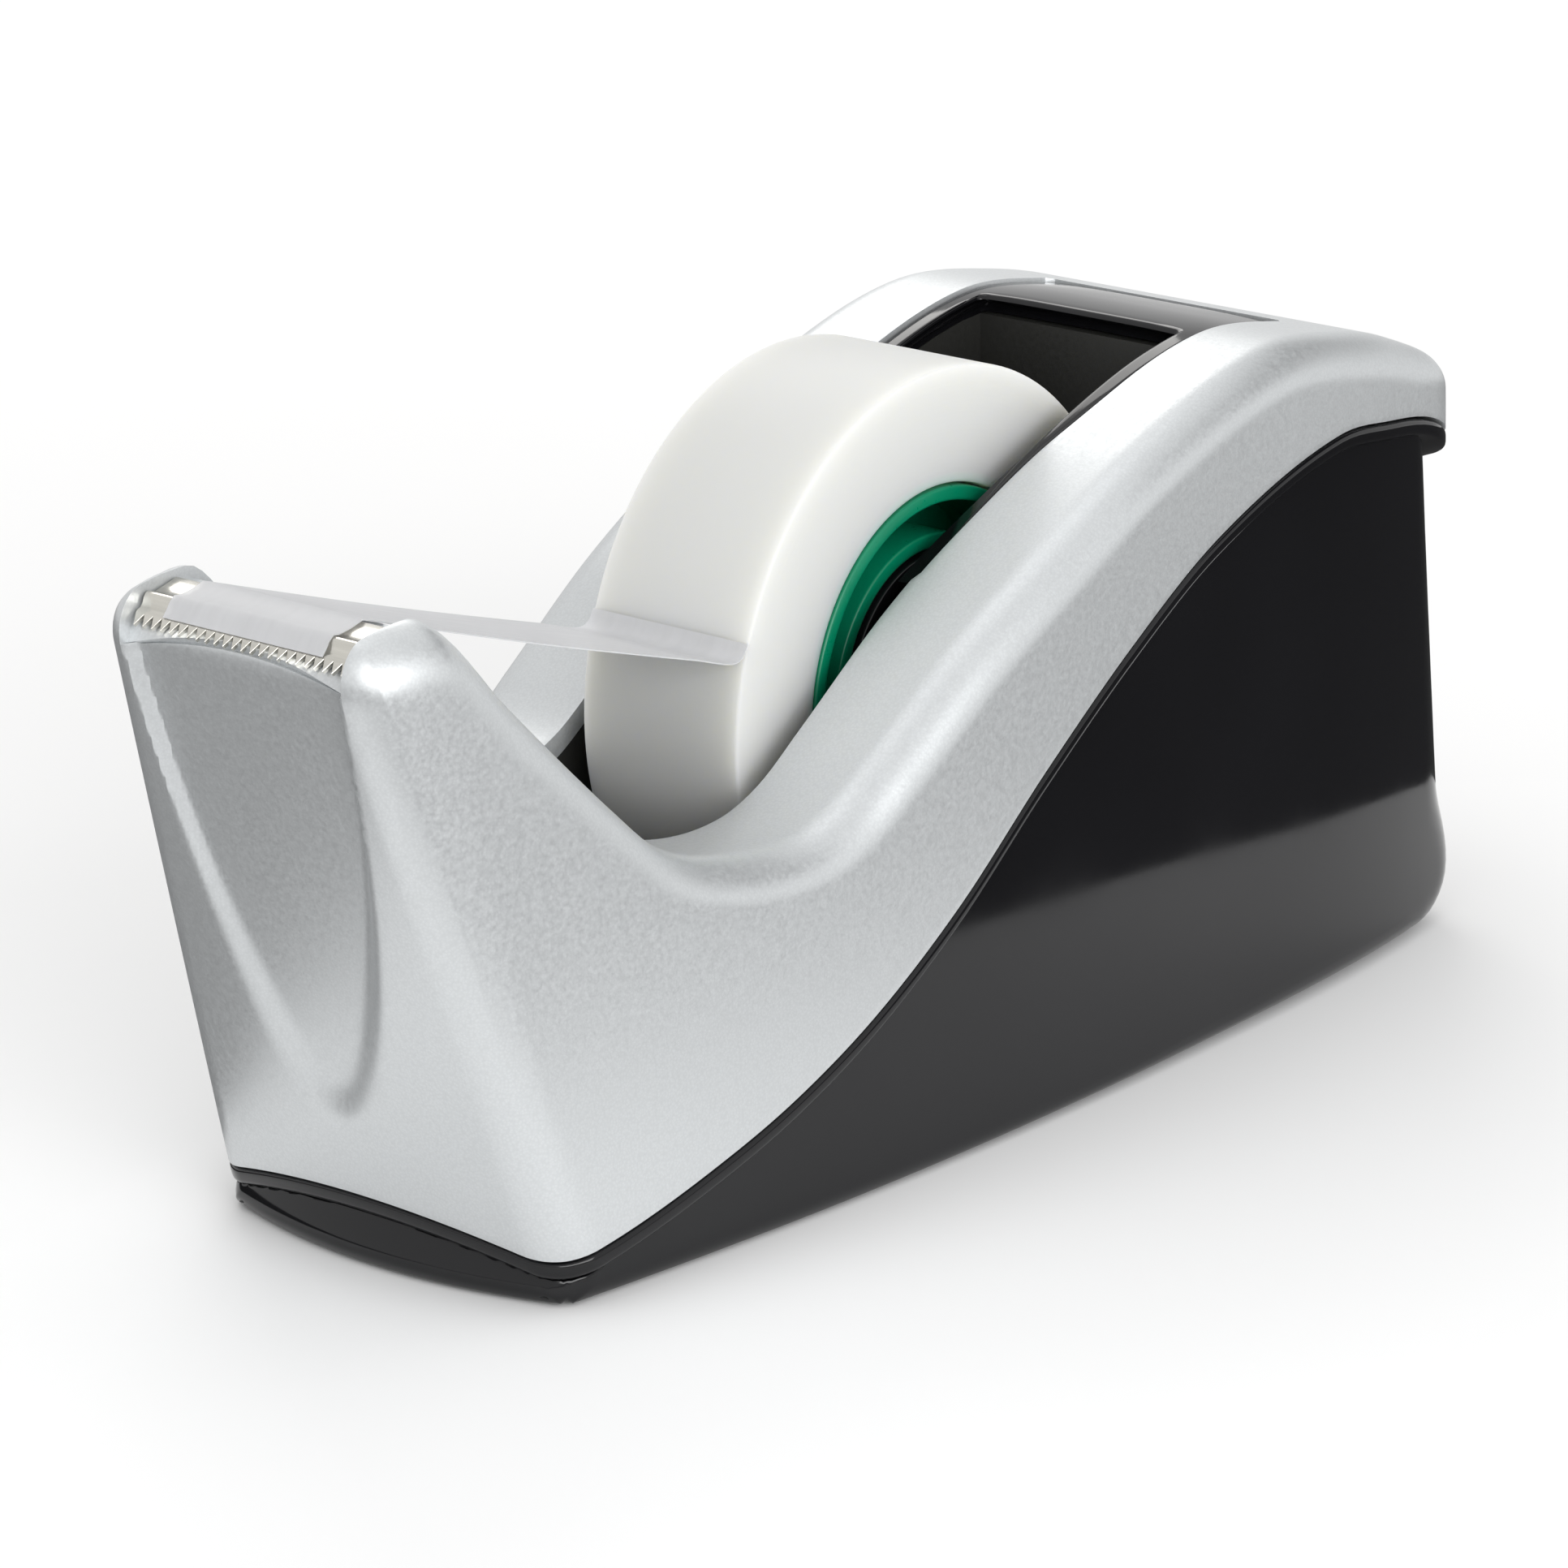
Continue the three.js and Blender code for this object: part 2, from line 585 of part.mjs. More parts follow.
// The free tape: flat on the blade, straight across the valley, curling onto the roll.
function tapeStrip() {
  const angle = THREE.MathUtils.degToRad(tapePeelAngle);
  const reach = rollRadius + seamGap + tapeThickness;
  const peel = [rollX + reach * Math.cos(angle), rollHeight + reach * Math.sin(angle)];
  const above = seamGap;
  const top = [
    [bladeTip[0] + 0.6, bladeTip[1] + 0.4 + above], [bladeBend[0], bladeBend[1] + above],
    [bladeBack[0], bladeBack[1] + above],
    ...between([bladeBack[0], bladeBack[1] + above], peel, [[0.5, 0.52], [0.85, 0.88], [0.96, 0.985]]),
    peel,
  ];
  const raised = top.map(([x, z]) => [x, z + tapeThickness]);
  return acrossY(outline([...top, ...raised.reverse()]), -halfTape, halfTape);
}

add('top_shell', topShell(), satinSilver);
add('base_casing', baseCasing(), glossBlack);
add('tape_well', tapeWell(), wellBlack);
add('rear_panel', rearPanel(), glossBlack);
add('axle_cradle_left', axleCradle(-1), wellBlack);
add('axle_cradle_right', axleCradle(1), wellBlack);
add('cutting_blade', cuttingBlade(), nickel);
add('bottom_plate', bottomPlate(), wellBlack);
add('grip_pad', gripPad(), greyFoam);
add('ballast_front', ballastFront(), castIron);
add('ballast_rear', ballastRear(), castIron);
screwPlaces().forEach(([x, y], i) => add(`base_screw_${i + 1}`, screw(x, y), zincSteel));
add('tape_strip', tapeStrip(), matteTape);
add('tape_roll', ring(coreRadius + seamGap, rollRadius, halfTape), matteTape, roll);
add('tape_core', tapeCore(), greenCore, roll);
add('hub_half_left', hubHalf(-1), glossBlack, roll);
add('hub_half_right', hubHalf(1), glossBlack, roll);
add('hub_axle', new THREE.CylinderGeometry(axleRadius, axleRadius,
  2 * (wellHalfWidth + seamGap - axleEndGap), 32), wellBlack, roll);

export default dispenser;
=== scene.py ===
import math

import bpy
import numpy as np
from bpy.props import FloatProperty, FloatVectorProperty, IntProperty, PointerProperty
from mathutils import Matrix, Vector


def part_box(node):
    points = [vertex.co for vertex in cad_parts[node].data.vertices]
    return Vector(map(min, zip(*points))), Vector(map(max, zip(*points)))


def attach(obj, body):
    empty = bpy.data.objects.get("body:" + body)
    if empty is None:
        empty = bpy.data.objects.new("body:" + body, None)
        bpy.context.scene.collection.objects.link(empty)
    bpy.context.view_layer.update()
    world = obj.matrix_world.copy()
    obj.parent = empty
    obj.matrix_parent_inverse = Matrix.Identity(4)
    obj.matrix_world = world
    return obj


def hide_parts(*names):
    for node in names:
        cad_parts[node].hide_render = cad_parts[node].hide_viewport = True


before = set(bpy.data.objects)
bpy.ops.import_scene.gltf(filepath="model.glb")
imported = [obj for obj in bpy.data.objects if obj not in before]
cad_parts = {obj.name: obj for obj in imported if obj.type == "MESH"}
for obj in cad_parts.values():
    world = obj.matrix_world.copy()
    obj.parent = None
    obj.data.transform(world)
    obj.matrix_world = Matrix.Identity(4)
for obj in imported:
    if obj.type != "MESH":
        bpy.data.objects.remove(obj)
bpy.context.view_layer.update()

bl_info = {
    "name": "Desktop tape dispenser",
    "version": (1, 0, 0),
    "blender": (4, 5, 0),
    "location": "3D View > Sidebar > Tape Dispenser",
    "description": "Builds a desktop tape dispenser around its packed frame",
    "category": "Add Mesh",
}

MM = 0.001

# ---------------------------------------------------------------- places taken from the frame, in mm


def box_mm(node):
    low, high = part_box(node)
    return [c / MM for c in low], [c / MM for c in high]


REAR_X = box_mm("top_shell")[1][0]
FRONT_X = -REAR_X
ROLL_LOW, ROLL_HIGH = box_mm("tape_roll")
ROLL_X = (ROLL_LOW[0] + ROLL_HIGH[0]) / 2
ROLL_Z = (ROLL_LOW[2] + ROLL_HIGH[2]) / 2
ROLL_RADIUS = (ROLL_HIGH[0] - ROLL_LOW[0]) / 2
TAPE_HALF = ROLL_HIGH[1]
CORE_RADIUS = box_mm("tape_core")[1][0] - ROLL_X
WELL_FRONT, WELL_REAR = -58.0, 43.05
TRIM_FRONT, PANEL_REAR = -0.95, 57.75
TRIM_HALF = 14.5
PANEL_GAP = 0.3  # between the gloss panel and the shell round it

# ---------------------------------------------------------------- outlines of the body
FOOT_X, FOOT_Z = -66.71, 4.3
NOSE_LEAN = 0.305
SCOOP_TOP = 61.8
CREST = (42.75, 69.3)
NOSE_CREST = (-76.5, 66.9)
VALLEY = (-31.0, 36.8)
LIP = (REAR_X, 50.3)
SHOULDER = (52.0, 58.9)
ARCH_RISE, ARCH_HALF = 3.3, 21.2
WIDEST_X, WIDEST_HALF, SIDE_LEAN = 29.0, 29.1, 0.04
NOSE_ROUND, REAR_ROUND = 4.0, 12.0  # upright corners, seen from above
ROOF_ROUND = 4.5  # edge between the roof and the walls
CHANNEL_HALF = 13.2  # half-width of the channel between the cheeks
CHEEK_FRONT_Z, CHANNEL_SAG = 62.9, 1.7
SCOOP_FOOT = 15.0
BASE_REAR_X, BASE_INSET, BASE_FRONT_BOW = 83.29, 0.9, 4.1
BEAD_GAP = 0.3  # groove between the shell's edge and the bead
PAD_INSET = 4.2


def between(start, end, shares):
    """Points between two ends, each as a share of the run and of the rise."""
    return [(start[0] + (end[0] - start[0]) * a, start[1] + (end[1] - start[1]) * b) for a, b in shares]


def smooth_line(points):
    """Height over X of a smooth line through the points."""
    xs, zs = np.array(points, float).T
    chord = np.diff(zs) / np.diff(xs)
    slope = np.concatenate([chord[:1], (chord[1:] + chord[:-1]) / 2, chord[-1:]])

    def height(x):
        x = np.clip(x, xs[0], xs[-1])
        i = np.clip(np.searchsorted(xs, x, side="right") - 1, 0, len(xs) - 2)
        run = xs[i + 1] - xs[i]
        t = (x - xs[i]) / run
        return (
            (1 + 2 * t) * (1 - t) ** 2 * zs[i]
            + t * (1 - t) ** 2 * run * slope[i]
            + t * t * (3 - 2 * t) * zs[i + 1]
            + t * t * (t - 1) * run * slope[i + 1]
        )

    return height


roof = smooth_line([
    (FRONT_X - 3, 65.6), (FRONT_X + 2, 66.45), (FRONT_X + 5, 66.8), NOSE_CREST,
    *between(NOSE_CREST, VALLEY, [(0.08, 0.02), (0.247, 0.309), (0.511, 0.728), (0.621, 0.88), (0.75, 0.965)]),
    VALLEY,
    *between(VALLEY, CREST, [(0.083, 0.055), (0.168, 0.175), (0.336, 0.425), (0.509, 0.63), (0.687, 0.82)]),
    CREST,
    *between(CREST, LIP, [(0.337, 0.079), (0.6, 0.23), (0.82, 0.463), (0.92, 0.674)]),
    LIP,
])
side_seam = smooth_line([
    (FOOT_X, FOOT_Z),
    *between((FOOT_X, FOOT_Z), SHOULDER, [
        (0.084, 0.035), (0.171, 0.088), (0.264, 0.159), (0.359, 0.258),
        (0.461, 0.399), (0.57, 0.582), (0.687, 0.753), (0.808, 0.892),
    ]),
    SHOULDER,
    *between(SHOULDER, LIP, [(0.268, 0.079), (0.612, 0.326)]),
    (REAR_X, LIP[1] - 0.6),
])


def seam_at(p):
    """Height of the seam between shell and base: along the sides, and arched under the nose."""
    arch = FOOT_Z + ARCH_RISE * (1 - (p[..., 1] / ARCH_HALF) ** 2)
    arch = np.where(p[..., 0] < FOOT_X + 8, arch, 0)
    side = side_seam(p[..., 0])
    near = np.maximum(0, 0.9 - np.abs(side - arch))
    return np.maximum(side, arch) + near**2 / 3.6 - 0.1 * smoothstep((FOOT_X + 8 - p[..., 0]) / 5)


def smoothstep(t):
    t = np.clip(t, 0, 1)
    return t * t * (3 - 2 * t)


def half_width(x, z):
    """Half-width of the body, widest behind the middle and narrower towards both ends."""
    to_nose = np.maximum(0, (WIDEST_X - x) / (WIDEST_X - FRONT_X))
    to_tail = np.maximum(0, (x - WIDEST_X) / (REAR_X - WIDEST_X))
    return WIDEST_HALF - 10.5 * to_nose**2 - 5 * to_tail**3 - SIDE_LEAN * z


def rounded_joint(a, b, radius):
    """Distance to the body inside both surfaces, with their edge rounded."""
    return np.minimum(np.maximum(a, b), -radius) + np.hypot(
        np.maximum(a + radius, 0), np.maximum(b + radius, 0)
    )


def nose_distance(p):
    """Distance outside the nose's leaning, slightly crowned face."""
    face = FOOT_X - NOSE_LEAN * (p[..., 2] - FOOT_Z) + 0.2 + 1.5 * (p[..., 1] / 17) ** 2
    return (face - p[..., 0]) / math.hypot(1, NOSE_LEAN)


def wall_distance(p):
    """Distance outside the shell's upright walls."""
    side = np.abs(p[..., 1]) - half_width(p[..., 0], p[..., 2])
    walls = rounded_joint(side, p[..., 0] - REAR_X, REAR_ROUND)
    return rounded_joint(walls, nose_distance(p), NOSE_ROUND)


def shell_distance(p):
    """Distance outside the shell: its walls and roof, with the edge between them rounded."""
    x, reach = p[..., 0], 0.2
    slope = (roof(x + reach) - roof(x - reach)) / (2 * reach)
    edge = ROOF_ROUND + 0.9 * smoothstep((-68 - x) / 10) - 3.3 * smoothstep((x - 66) / 16)
    return rounded_joint(wall_distance(p), (p[..., 2] - roof(x)) / np.hypot(1, slope), edge)


def settle(points, distance, free=(1, 1, 1), hold=None, rounds=14):
    """Moves points along the free directions until they lie on the surface."""
    free, h = np.array(free, float), 0.01
    for _ in range(rounds):
        slope = np.stack([
            (distance(points + step) - distance(points - step)) / (2 * h) for step in np.eye(3) * h
        ], -1) * free
        size = np.maximum((slope**2).sum(-1), 0.04)
        points = points - slope * (distance(points) / size)[..., None]
        if hold:
            points = hold(points)
    return points


def at_seam(drop=0.0):
    """A function that puts points at the seam's height, or below it."""
    def hold(p):
        p = p.copy()
        p[..., 2] = seam_at(p) - drop
        return p
    return hold


def trim_half(x):
    """Half-width of the gloss trim: it widens from the roll towards the rear panel."""
    return 12.6 + 1.9 * smoothstep((x - TRIM_FRONT) / 30)


def mirrored_loop(half):
    """A full loop from the half at y > 0, which runs from the front's middle to the rear's."""
    return np.concatenate([half, half[-2:0:-1] * (1, -1, 1)])


def even_rows(path, rows, pull):
    """Places rows along each path, closer together where it bends."""
    step = np.linalg.norm(np.diff(path, axis=1), axis=2)
    heading = np.diff(path, axis=1) / np.maximum(step, 1e-6)[..., None]
    bend = np.linalg.norm(np.diff(heading, axis=1), axis=2)
    bend /= np.maximum((step[:, 1:] + step[:, :-1]) / 2, 1e-3)
    bend = np.clip(np.pad(bend, ((0, 0), (1, 0)), mode="edge"), 0, 0.5)
    kernel = np.ones(13) / 13
    for _ in range(2):
        bend = np.stack([np.convolve(np.pad(b, 6, mode="edge"), kernel, "valid") for b in bend]).T
    weight = np.pad(np.cumsum(step * (1 + pull * bend), axis=1), ((0, 0), (1, 0)))
    shares = np.linspace(0, 1, rows)
    return np.stack([spread(shares * w[-1], w, p) for w, p in zip(weight, path)])


def spread(at, run, points):
    """Places at the given distances along a line of points."""
    return np.stack([np.interp(at, run, column) for column in points.T], -1)


def along(points, count, last=True):
    """Evenly spaced places along a line of points, with or without its last end."""
    points = np.array(points, float)
    run = np.insert(np.cumsum(np.linalg.norm(np.diff(points, axis=0), axis=1)), 0, 0)
    return spread(np.linspace(0, run[-1], count, endpoint=last), run, points)


def level(points):
    """The same directions without their height, each one unit long."""
    flat = points * (1, 1, 0)
    return flat / np.maximum(np.linalg.norm(flat, axis=1), 1e-6)[:, None]


def two_legs(start, corner, end, count):
    """Straight lines from start to corner and on to end, for each row of the three."""
    share = np.linspace(0, 2, count)[None, :, None]
    start, corner, end = start[:, None], corner[:, None], end[:, None]
    return np.where(share < 1, start * (1 - share) + corner * share, corner * (2 - share) + end * (share - 1))


# ---------------------------------------------------------------- mesh helpers
def clear_selection():
    if bpy.context.object and bpy.context.object.mode != "OBJECT":
        bpy.ops.object.mode_set(mode="OBJECT")
    bpy.ops.object.select_all(action="DESELECT")


def edit(obj):
    clear_selection()
    obj.select_set(True)
    bpy.context.view_layer.objects.active = obj
    bpy.ops.object.mode_set(mode="EDIT")
    bpy.ops.mesh.select_all(action="SELECT")


def face_out(obj):
    """Turns a closed mesh so that its faces point outwards."""
    mesh = obj.data
    mesh.calc_loop_triangles()
    co = np.array([v.co for v in mesh.vertices])
    tri = co[np.array([t.vertices for t in mesh.loop_triangles])]
    if np.einsum("ij,ij->i", tri[:, 0], np.cross(tri[:, 1], tri[:, 2])).sum() < 0:
        edit(obj)
        bpy.ops.mesh.flip_normals()
        bpy.ops.object.mode_set(mode="OBJECT")


def patch(name, places):
    """A grid of faces with one vertex at each place (rows of points, in mm)."""
    places = np.asarray(places, float)
    rows, columns = places.shape[:2]
    clear_selection()
    bpy.ops.mesh.primitive_grid_add(x_subdivisions=columns - 1, y_subdivisions=rows - 1, size=1)
    obj = bpy.context.object
    obj.name = obj.data.name = name
    obj.data.vertices.foreach_set("co", (places * MM).astype(np.float32).ravel())
    obj.data.update()
    return obj


def closed_patch(name, places, wrap_rows=True):
    """A grid whose last column, and row, meet its first ones."""
    places = np.array(places, float)
    places = np.concatenate([places, places[:, :1]], axis=1)
    if wrap_rows:
        places = np.concatenate([places, places[:1]], axis=0)
    obj = patch(name, places)
    edit(obj)
    bpy.ops.mesh.remove_doubles(threshold=1e-6)
    bpy.ops.object.mode_set(mode="OBJECT")
    face_out(obj)
    return obj


def finish_with(obj, kind, **settings):
    clear_selection()
    obj.select_set(True)
    bpy.context.view_layer.objects.active = obj
    modifier = obj.modifiers.new(kind.title(), kind)
    for key, value in settings.items():
        setattr(modifier, key, value)
    bpy.ops.object.modifier_apply(modifier=modifier.name)


def soften(obj, width, segments=2, angle=40):
    finish_with(obj, "BEVEL", width=width * MM, segments=segments, limit_method="ANGLE",
                angle_limit=math.radians(angle), use_clamp_overlap=True, miter_outer="MITER_ARC")


def smooth(obj, angle=35):
    clear_selection()
    obj.select_set(True)
    bpy.context.view_layer.objects.active = obj
    bpy.ops.object.shade_smooth_by_angle(angle=math.radians(angle))


def turned(name, profile, centre=(ROLL_X, ROLL_Z), steps=96):
    """A closed profile of [radius, y] points turned about an axis along Y."""
    clear_selection()
    bpy.ops.mesh.primitive_circle_add(vertices=len(profile), radius=1, fill_type="NOTHING")
    obj = bpy.context.object
    obj.name = obj.data.name = name
    for vertex, (radius, y) in zip(obj.data.vertices, profile):
        vertex.co = Vector((centre[0] + radius, y, centre[1])) * MM
    edit(obj)
    bpy.ops.mesh.spin(steps=steps, dupli=False, angle=2 * math.pi,
                      center=(centre[0] * MM, 0, centre[1] * MM), axis=(0, 1, 0))
    bpy.ops.mesh.select_all(action="SELECT")
    bpy.ops.mesh.remove_doubles(threshold=1e-6)
    bpy.ops.object.mode_set(mode="OBJECT")
    face_out(obj)
    return obj


def eased(profile, radius=0.35, steps=3):
    """A closed profile with each corner rounded."""
    points = np.array(profile, float)
    out = []
    for before, corner, after in zip(np.roll(points, 1, 0), points, np.roll(points, -1, 0)):
        a, b = before - corner, after - corner
        reach = min(radius, 0.45 * np.linalg.norm(a), 0.45 * np.linalg.norm(b))
        a, b = a / np.linalg.norm(a) * reach, b / np.linalg.norm(b) * reach
        for i in range(steps + 1):
            t = i / steps
            out.append(corner + a * (1 - t) ** 2 + b * t**2)
    return out


def joined(name, *objects):
    clear_selection()
    for o in objects:
        o.select_set(True)
    bpy.context.view_layer.objects.active = objects[0]
    bpy.ops.object.join()
    objects[0].name = objects[0].data.name = name
    return objects[0]


def settled(obj, body, slot, look, *nodes, angle=35):
    """Finishes a piece: shading, material, body and the CAD nodes that it stands for; the slot argument is not
    used.
    """
    smooth(obj, angle)
    obj.data.materials.clear()
    obj.data.materials.append(look)
    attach(obj, body)
    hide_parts(*nodes)
    return obj


# ---------------------------------------------------------------- materials
class Look:
    """A small helper that builds one node material."""

    def __init__(self, name):
        self.material = bpy.data.materials.new(name)
        self.material.use_nodes = True
        self.tree = self.material.node_tree
        self.shader = self.tree.nodes["Principled BSDF"]
        self.place = self.add("ShaderNodeTexCoord").outputs["Object"]

    def add(self, kind, **settings):
        node = self.tree.nodes.new(kind)
        for key, value in settings.items():
            if hasattr(node, key):
                setattr(node, key, value)
            else:
                node.inputs[key.replace("_", " ")].default_value = value
        return node

    def link(self, a, b):
        self.tree.links.new(a, b)

    def set(self, **values):
        for key, value in values.items():
            self.shader.inputs[key.replace("_", " ")].default_value = value

    def noise(self, scale, detail=3.0, roughness=0.55, stretch=None):
        node = self.add("ShaderNodeTexNoise", Scale=scale, Detail=detail, Roughness=roughness)
        place = self.place
        if stretch:
            mapping = self.add("ShaderNodeMapping", Scale=stretch)
            self.link(place, mapping.inputs["Vector"])
            place = mapping.outputs["Vector"]
        self.link(place, node.inputs["Vector"])
        return node.outputs["Fac"]

    def ramp(self, source, low, high, start, end):
        node = self.add("ShaderNodeMapRange")
        for key, value in zip(("From Min", "From Max", "To Min", "To Max"), (start, end, low, high)):
            node.inputs[key].default_value = value
        self.link(source, node.inputs["Value"])
        return node.outputs["Result"]

    def colours(self, source, stops):
        node = self.add("ShaderNodeValToRGB")
        ramp = node.color_ramp
        while len(ramp.elements) < len(stops):
            ramp.elements.new(0.5)
        for element, (place, colour) in zip(ramp.elements, stops):
            element.position, element.color = place, (*colour[:3], 1)
        self.link(source, node.inputs["Fac"])
        self.link(node.outputs["Color"], self.shader.inputs["Base Color"])

    def rough(self, source, low, high, start=0.3, end=0.7):
        self.link(self.ramp(source, low, high, start, end), self.shader.inputs["Roughness"])

    def bumps(self, *layers):
        normal = None
        for source, strength, distance in layers:
            node = self.add("ShaderNodeBump", Strength=strength, Distance=distance * MM)
            self.link(source, node.inputs["Height"])
            if normal:
                self.link(normal, node.inputs["Normal"])
            normal = node.outputs["Normal"]
        self.link(normal, self.shader.inputs["Normal"])


def scaled(colour, factor):
    return tuple(min(1, c * factor) for c in colour[:3])


def satin_silver_look(f):
    look = Look("satin_silver_paint")
    look.set(Metallic=0.62, Coat_Weight=0.1, Coat_Roughness=0.35, Specular_IOR_Level=0.6)
    flake = look.add("ShaderNodeTexVoronoi", Scale=3600.0)
    look.link(look.place, flake.inputs["Vector"])
    grain = look.noise(1900, 3, 0.5)
    look.colours(flake.outputs["Distance"], [
        (0.0, scaled(f.silver, 1.06)), (0.35, scaled(f.silver, 1.0)), (0.8, scaled(f.silver, 0.95))])
    look.rough(grain, f.silver_roughness - 0.06, f.silver_roughness + 0.07)
    look.bumps((grain, 0.22, 0.04), (flake.outputs["Distance"], 0.15, 0.02))
    return look.material


def gloss_black_look(f):
    look = Look("gloss_black_plastic")
    wave = look.noise(22, 2)
    look.colours(wave, [(0.3, scaled(f.black, 0.85)), (0.7, scaled(f.black, 1.2))])
    look.rough(look.noise(60, 3), 0.05, 0.11)
    look.set(IOR=1.45)
    look.bumps((wave, 0.12, 0.25), (look.noise(1400, 2), 0.05, 0.01))
    return look.material


def well_black_look(f):
    look = Look("well_black_plastic")
    grain = look.noise(1800, 3)
    look.colours(look.noise(35, 2), [(0.3, scaled(f.well, 0.85)), (0.7, scaled(f.well, 1.2))])
    look.rough(grain, 0.32, 0.5)
    look.bumps((grain, 0.3, 0.05))
    return look.material


def nickel_look(f):
    look = Look("nickel_plated_steel")
    look.set(Metallic=1.0)
    brushed = look.noise(900, 4, 0.6, stretch=(1.0, 0.04, 1.0))
    look.colours(brushed, [(0.25, scaled(f.nickel, 0.85)), (0.75, scaled(f.nickel, 1.1))])
    look.rough(brushed, 0.12, 0.24)
    look.bumps((brushed, 0.1, 0.02))
    return look.material


def foam_look(f):
    look = Look("grey_foam")
    cells = look.add("ShaderNodeTexVoronoi", Scale=1500.0)
    look.link(look.place, cells.inputs["Vector"])
    look.colours(cells.outputs["Distance"], [
        (0.0, scaled(f.foam, 0.45)), (0.5, scaled(f.foam, 1.0)), (1.0, scaled(f.foam, 1.3))])
    look.rough(look.noise(300), 0.88, 1.0)
    look.bumps((cells.outputs["Distance"], 0.8, 0.3))
    return look.material


def cast_iron_look():
    look = Look("cast_iron")
    look.set(Metallic=0.85)
    grain = look.noise(700, 6, 0.7)
    look.colours(grain, [(0.3, (0.045, 0.042, 0.04)), (0.6, (0.09, 0.088, 0.085)), (0.8, (0.13, 0.1, 0.08))])
    look.rough(grain, 0.55, 0.85)
    look.bumps((grain, 0.7, 0.3))
    return look.material


def zinc_look():
    look = Look("zinc_plated_steel")
    look.set(Metallic=1.0)
    grain = look.noise(1200, 4)
    look.colours(look.noise(400, 3), [(0.3, (0.42, 0.44, 0.47)), (0.7, (0.6, 0.61, 0.6))])
    look.rough(grain, 0.22, 0.4)
    look.bumps((grain, 0.15, 0.03))
    return look.material


def green_look(f):
    look = Look("green_core_plastic")
    grain = look.noise(900, 3)
    look.colours(look.noise(60, 2), [(0.3, scaled(f.green, 0.85)), (0.7, scaled(f.green, 1.15))])
    look.rough(grain, 0.26, 0.4)
    look.set(Subsurface_Weight=0.15, Subsurface_Scale=0.002)
    look.bumps((grain, 0.15, 0.03))
    return look.material


def tape_roll_look(f):
    """White wound tape: fine rings on its flat sides and light that soaks in, with the core's green light
    painted into the tape beside it and painted shade just outside that.
    """
    look = Look("wound_tape")
    centre = look.add("ShaderNodeMapping")
    centre.inputs["Location"].default_value = (-ROLL_X * MM, 0, -ROLL_Z * MM)
    centre.inputs["Scale"].default_value = (1, 0, 1)
    look.link(look.place, centre.inputs["Vector"])
    radius = look.add("ShaderNodeVectorMath", operation="LENGTH")
    look.link(centre.outputs["Vector"], radius.inputs[0])
    rings = look.add("ShaderNodeTexNoise", noise_dimensions="1D", Scale=2500.0, Detail=4.0)
    look.link(radius.outputs["Value"], rings.inputs["W"])
    depth = look.ramp(radius.outputs["Value"], 0, 1, CORE_RADIUS * MM, ROLL_RADIUS * MM)
    # painted light: the core's green light showing through the tape is painted next to the core, then painted
    # shade makes the tape a little darker just outside it, and the tape is painted a touch lighter towards the
    # outer edge and tread
    painted_core_bleed = scaled((0.6, 0.8, 0.68), 0.9)
    look.colours(depth, [
        (0.0, painted_core_bleed), (0.12, scaled(f.tape, 0.93)), (0.8, f.tape), (1.0, scaled(f.tape, 1.03))])
    look.rough(rings.outputs["Fac"], 0.42, 0.6)
    look.set(Subsurface_Weight=0.9, Subsurface_Scale=0.006, Subsurface_Radius=(1.0, 0.95, 0.75),
             Specular_IOR_Level=0.35, Coat_Weight=0.08, Coat_Roughness=0.3)
    look.bumps((rings.outputs["Fac"], 0.25, 0.04), (look.noise(160, 2), 0.1, 0.1))
    return look.material


def tape_film_look(f):
    """One thickness of matte tape: a clear film that softens what lies behind it."""
    look = Look("tape_film")
    grain = look.noise(900, 3, stretch=(0.15, 1.0, 0.15))
    look.colours(grain, [(0.3, scaled(f.film, 0.97)), (0.7, scaled(f.film, 1.03))])
    look.rough(grain, 0.32, 0.46)
    look.set(Transmission_Weight=0.35, IOR=1.2, Alpha=0.9)
    look.bumps((grain, 0.1, 0.03))
    return look.material


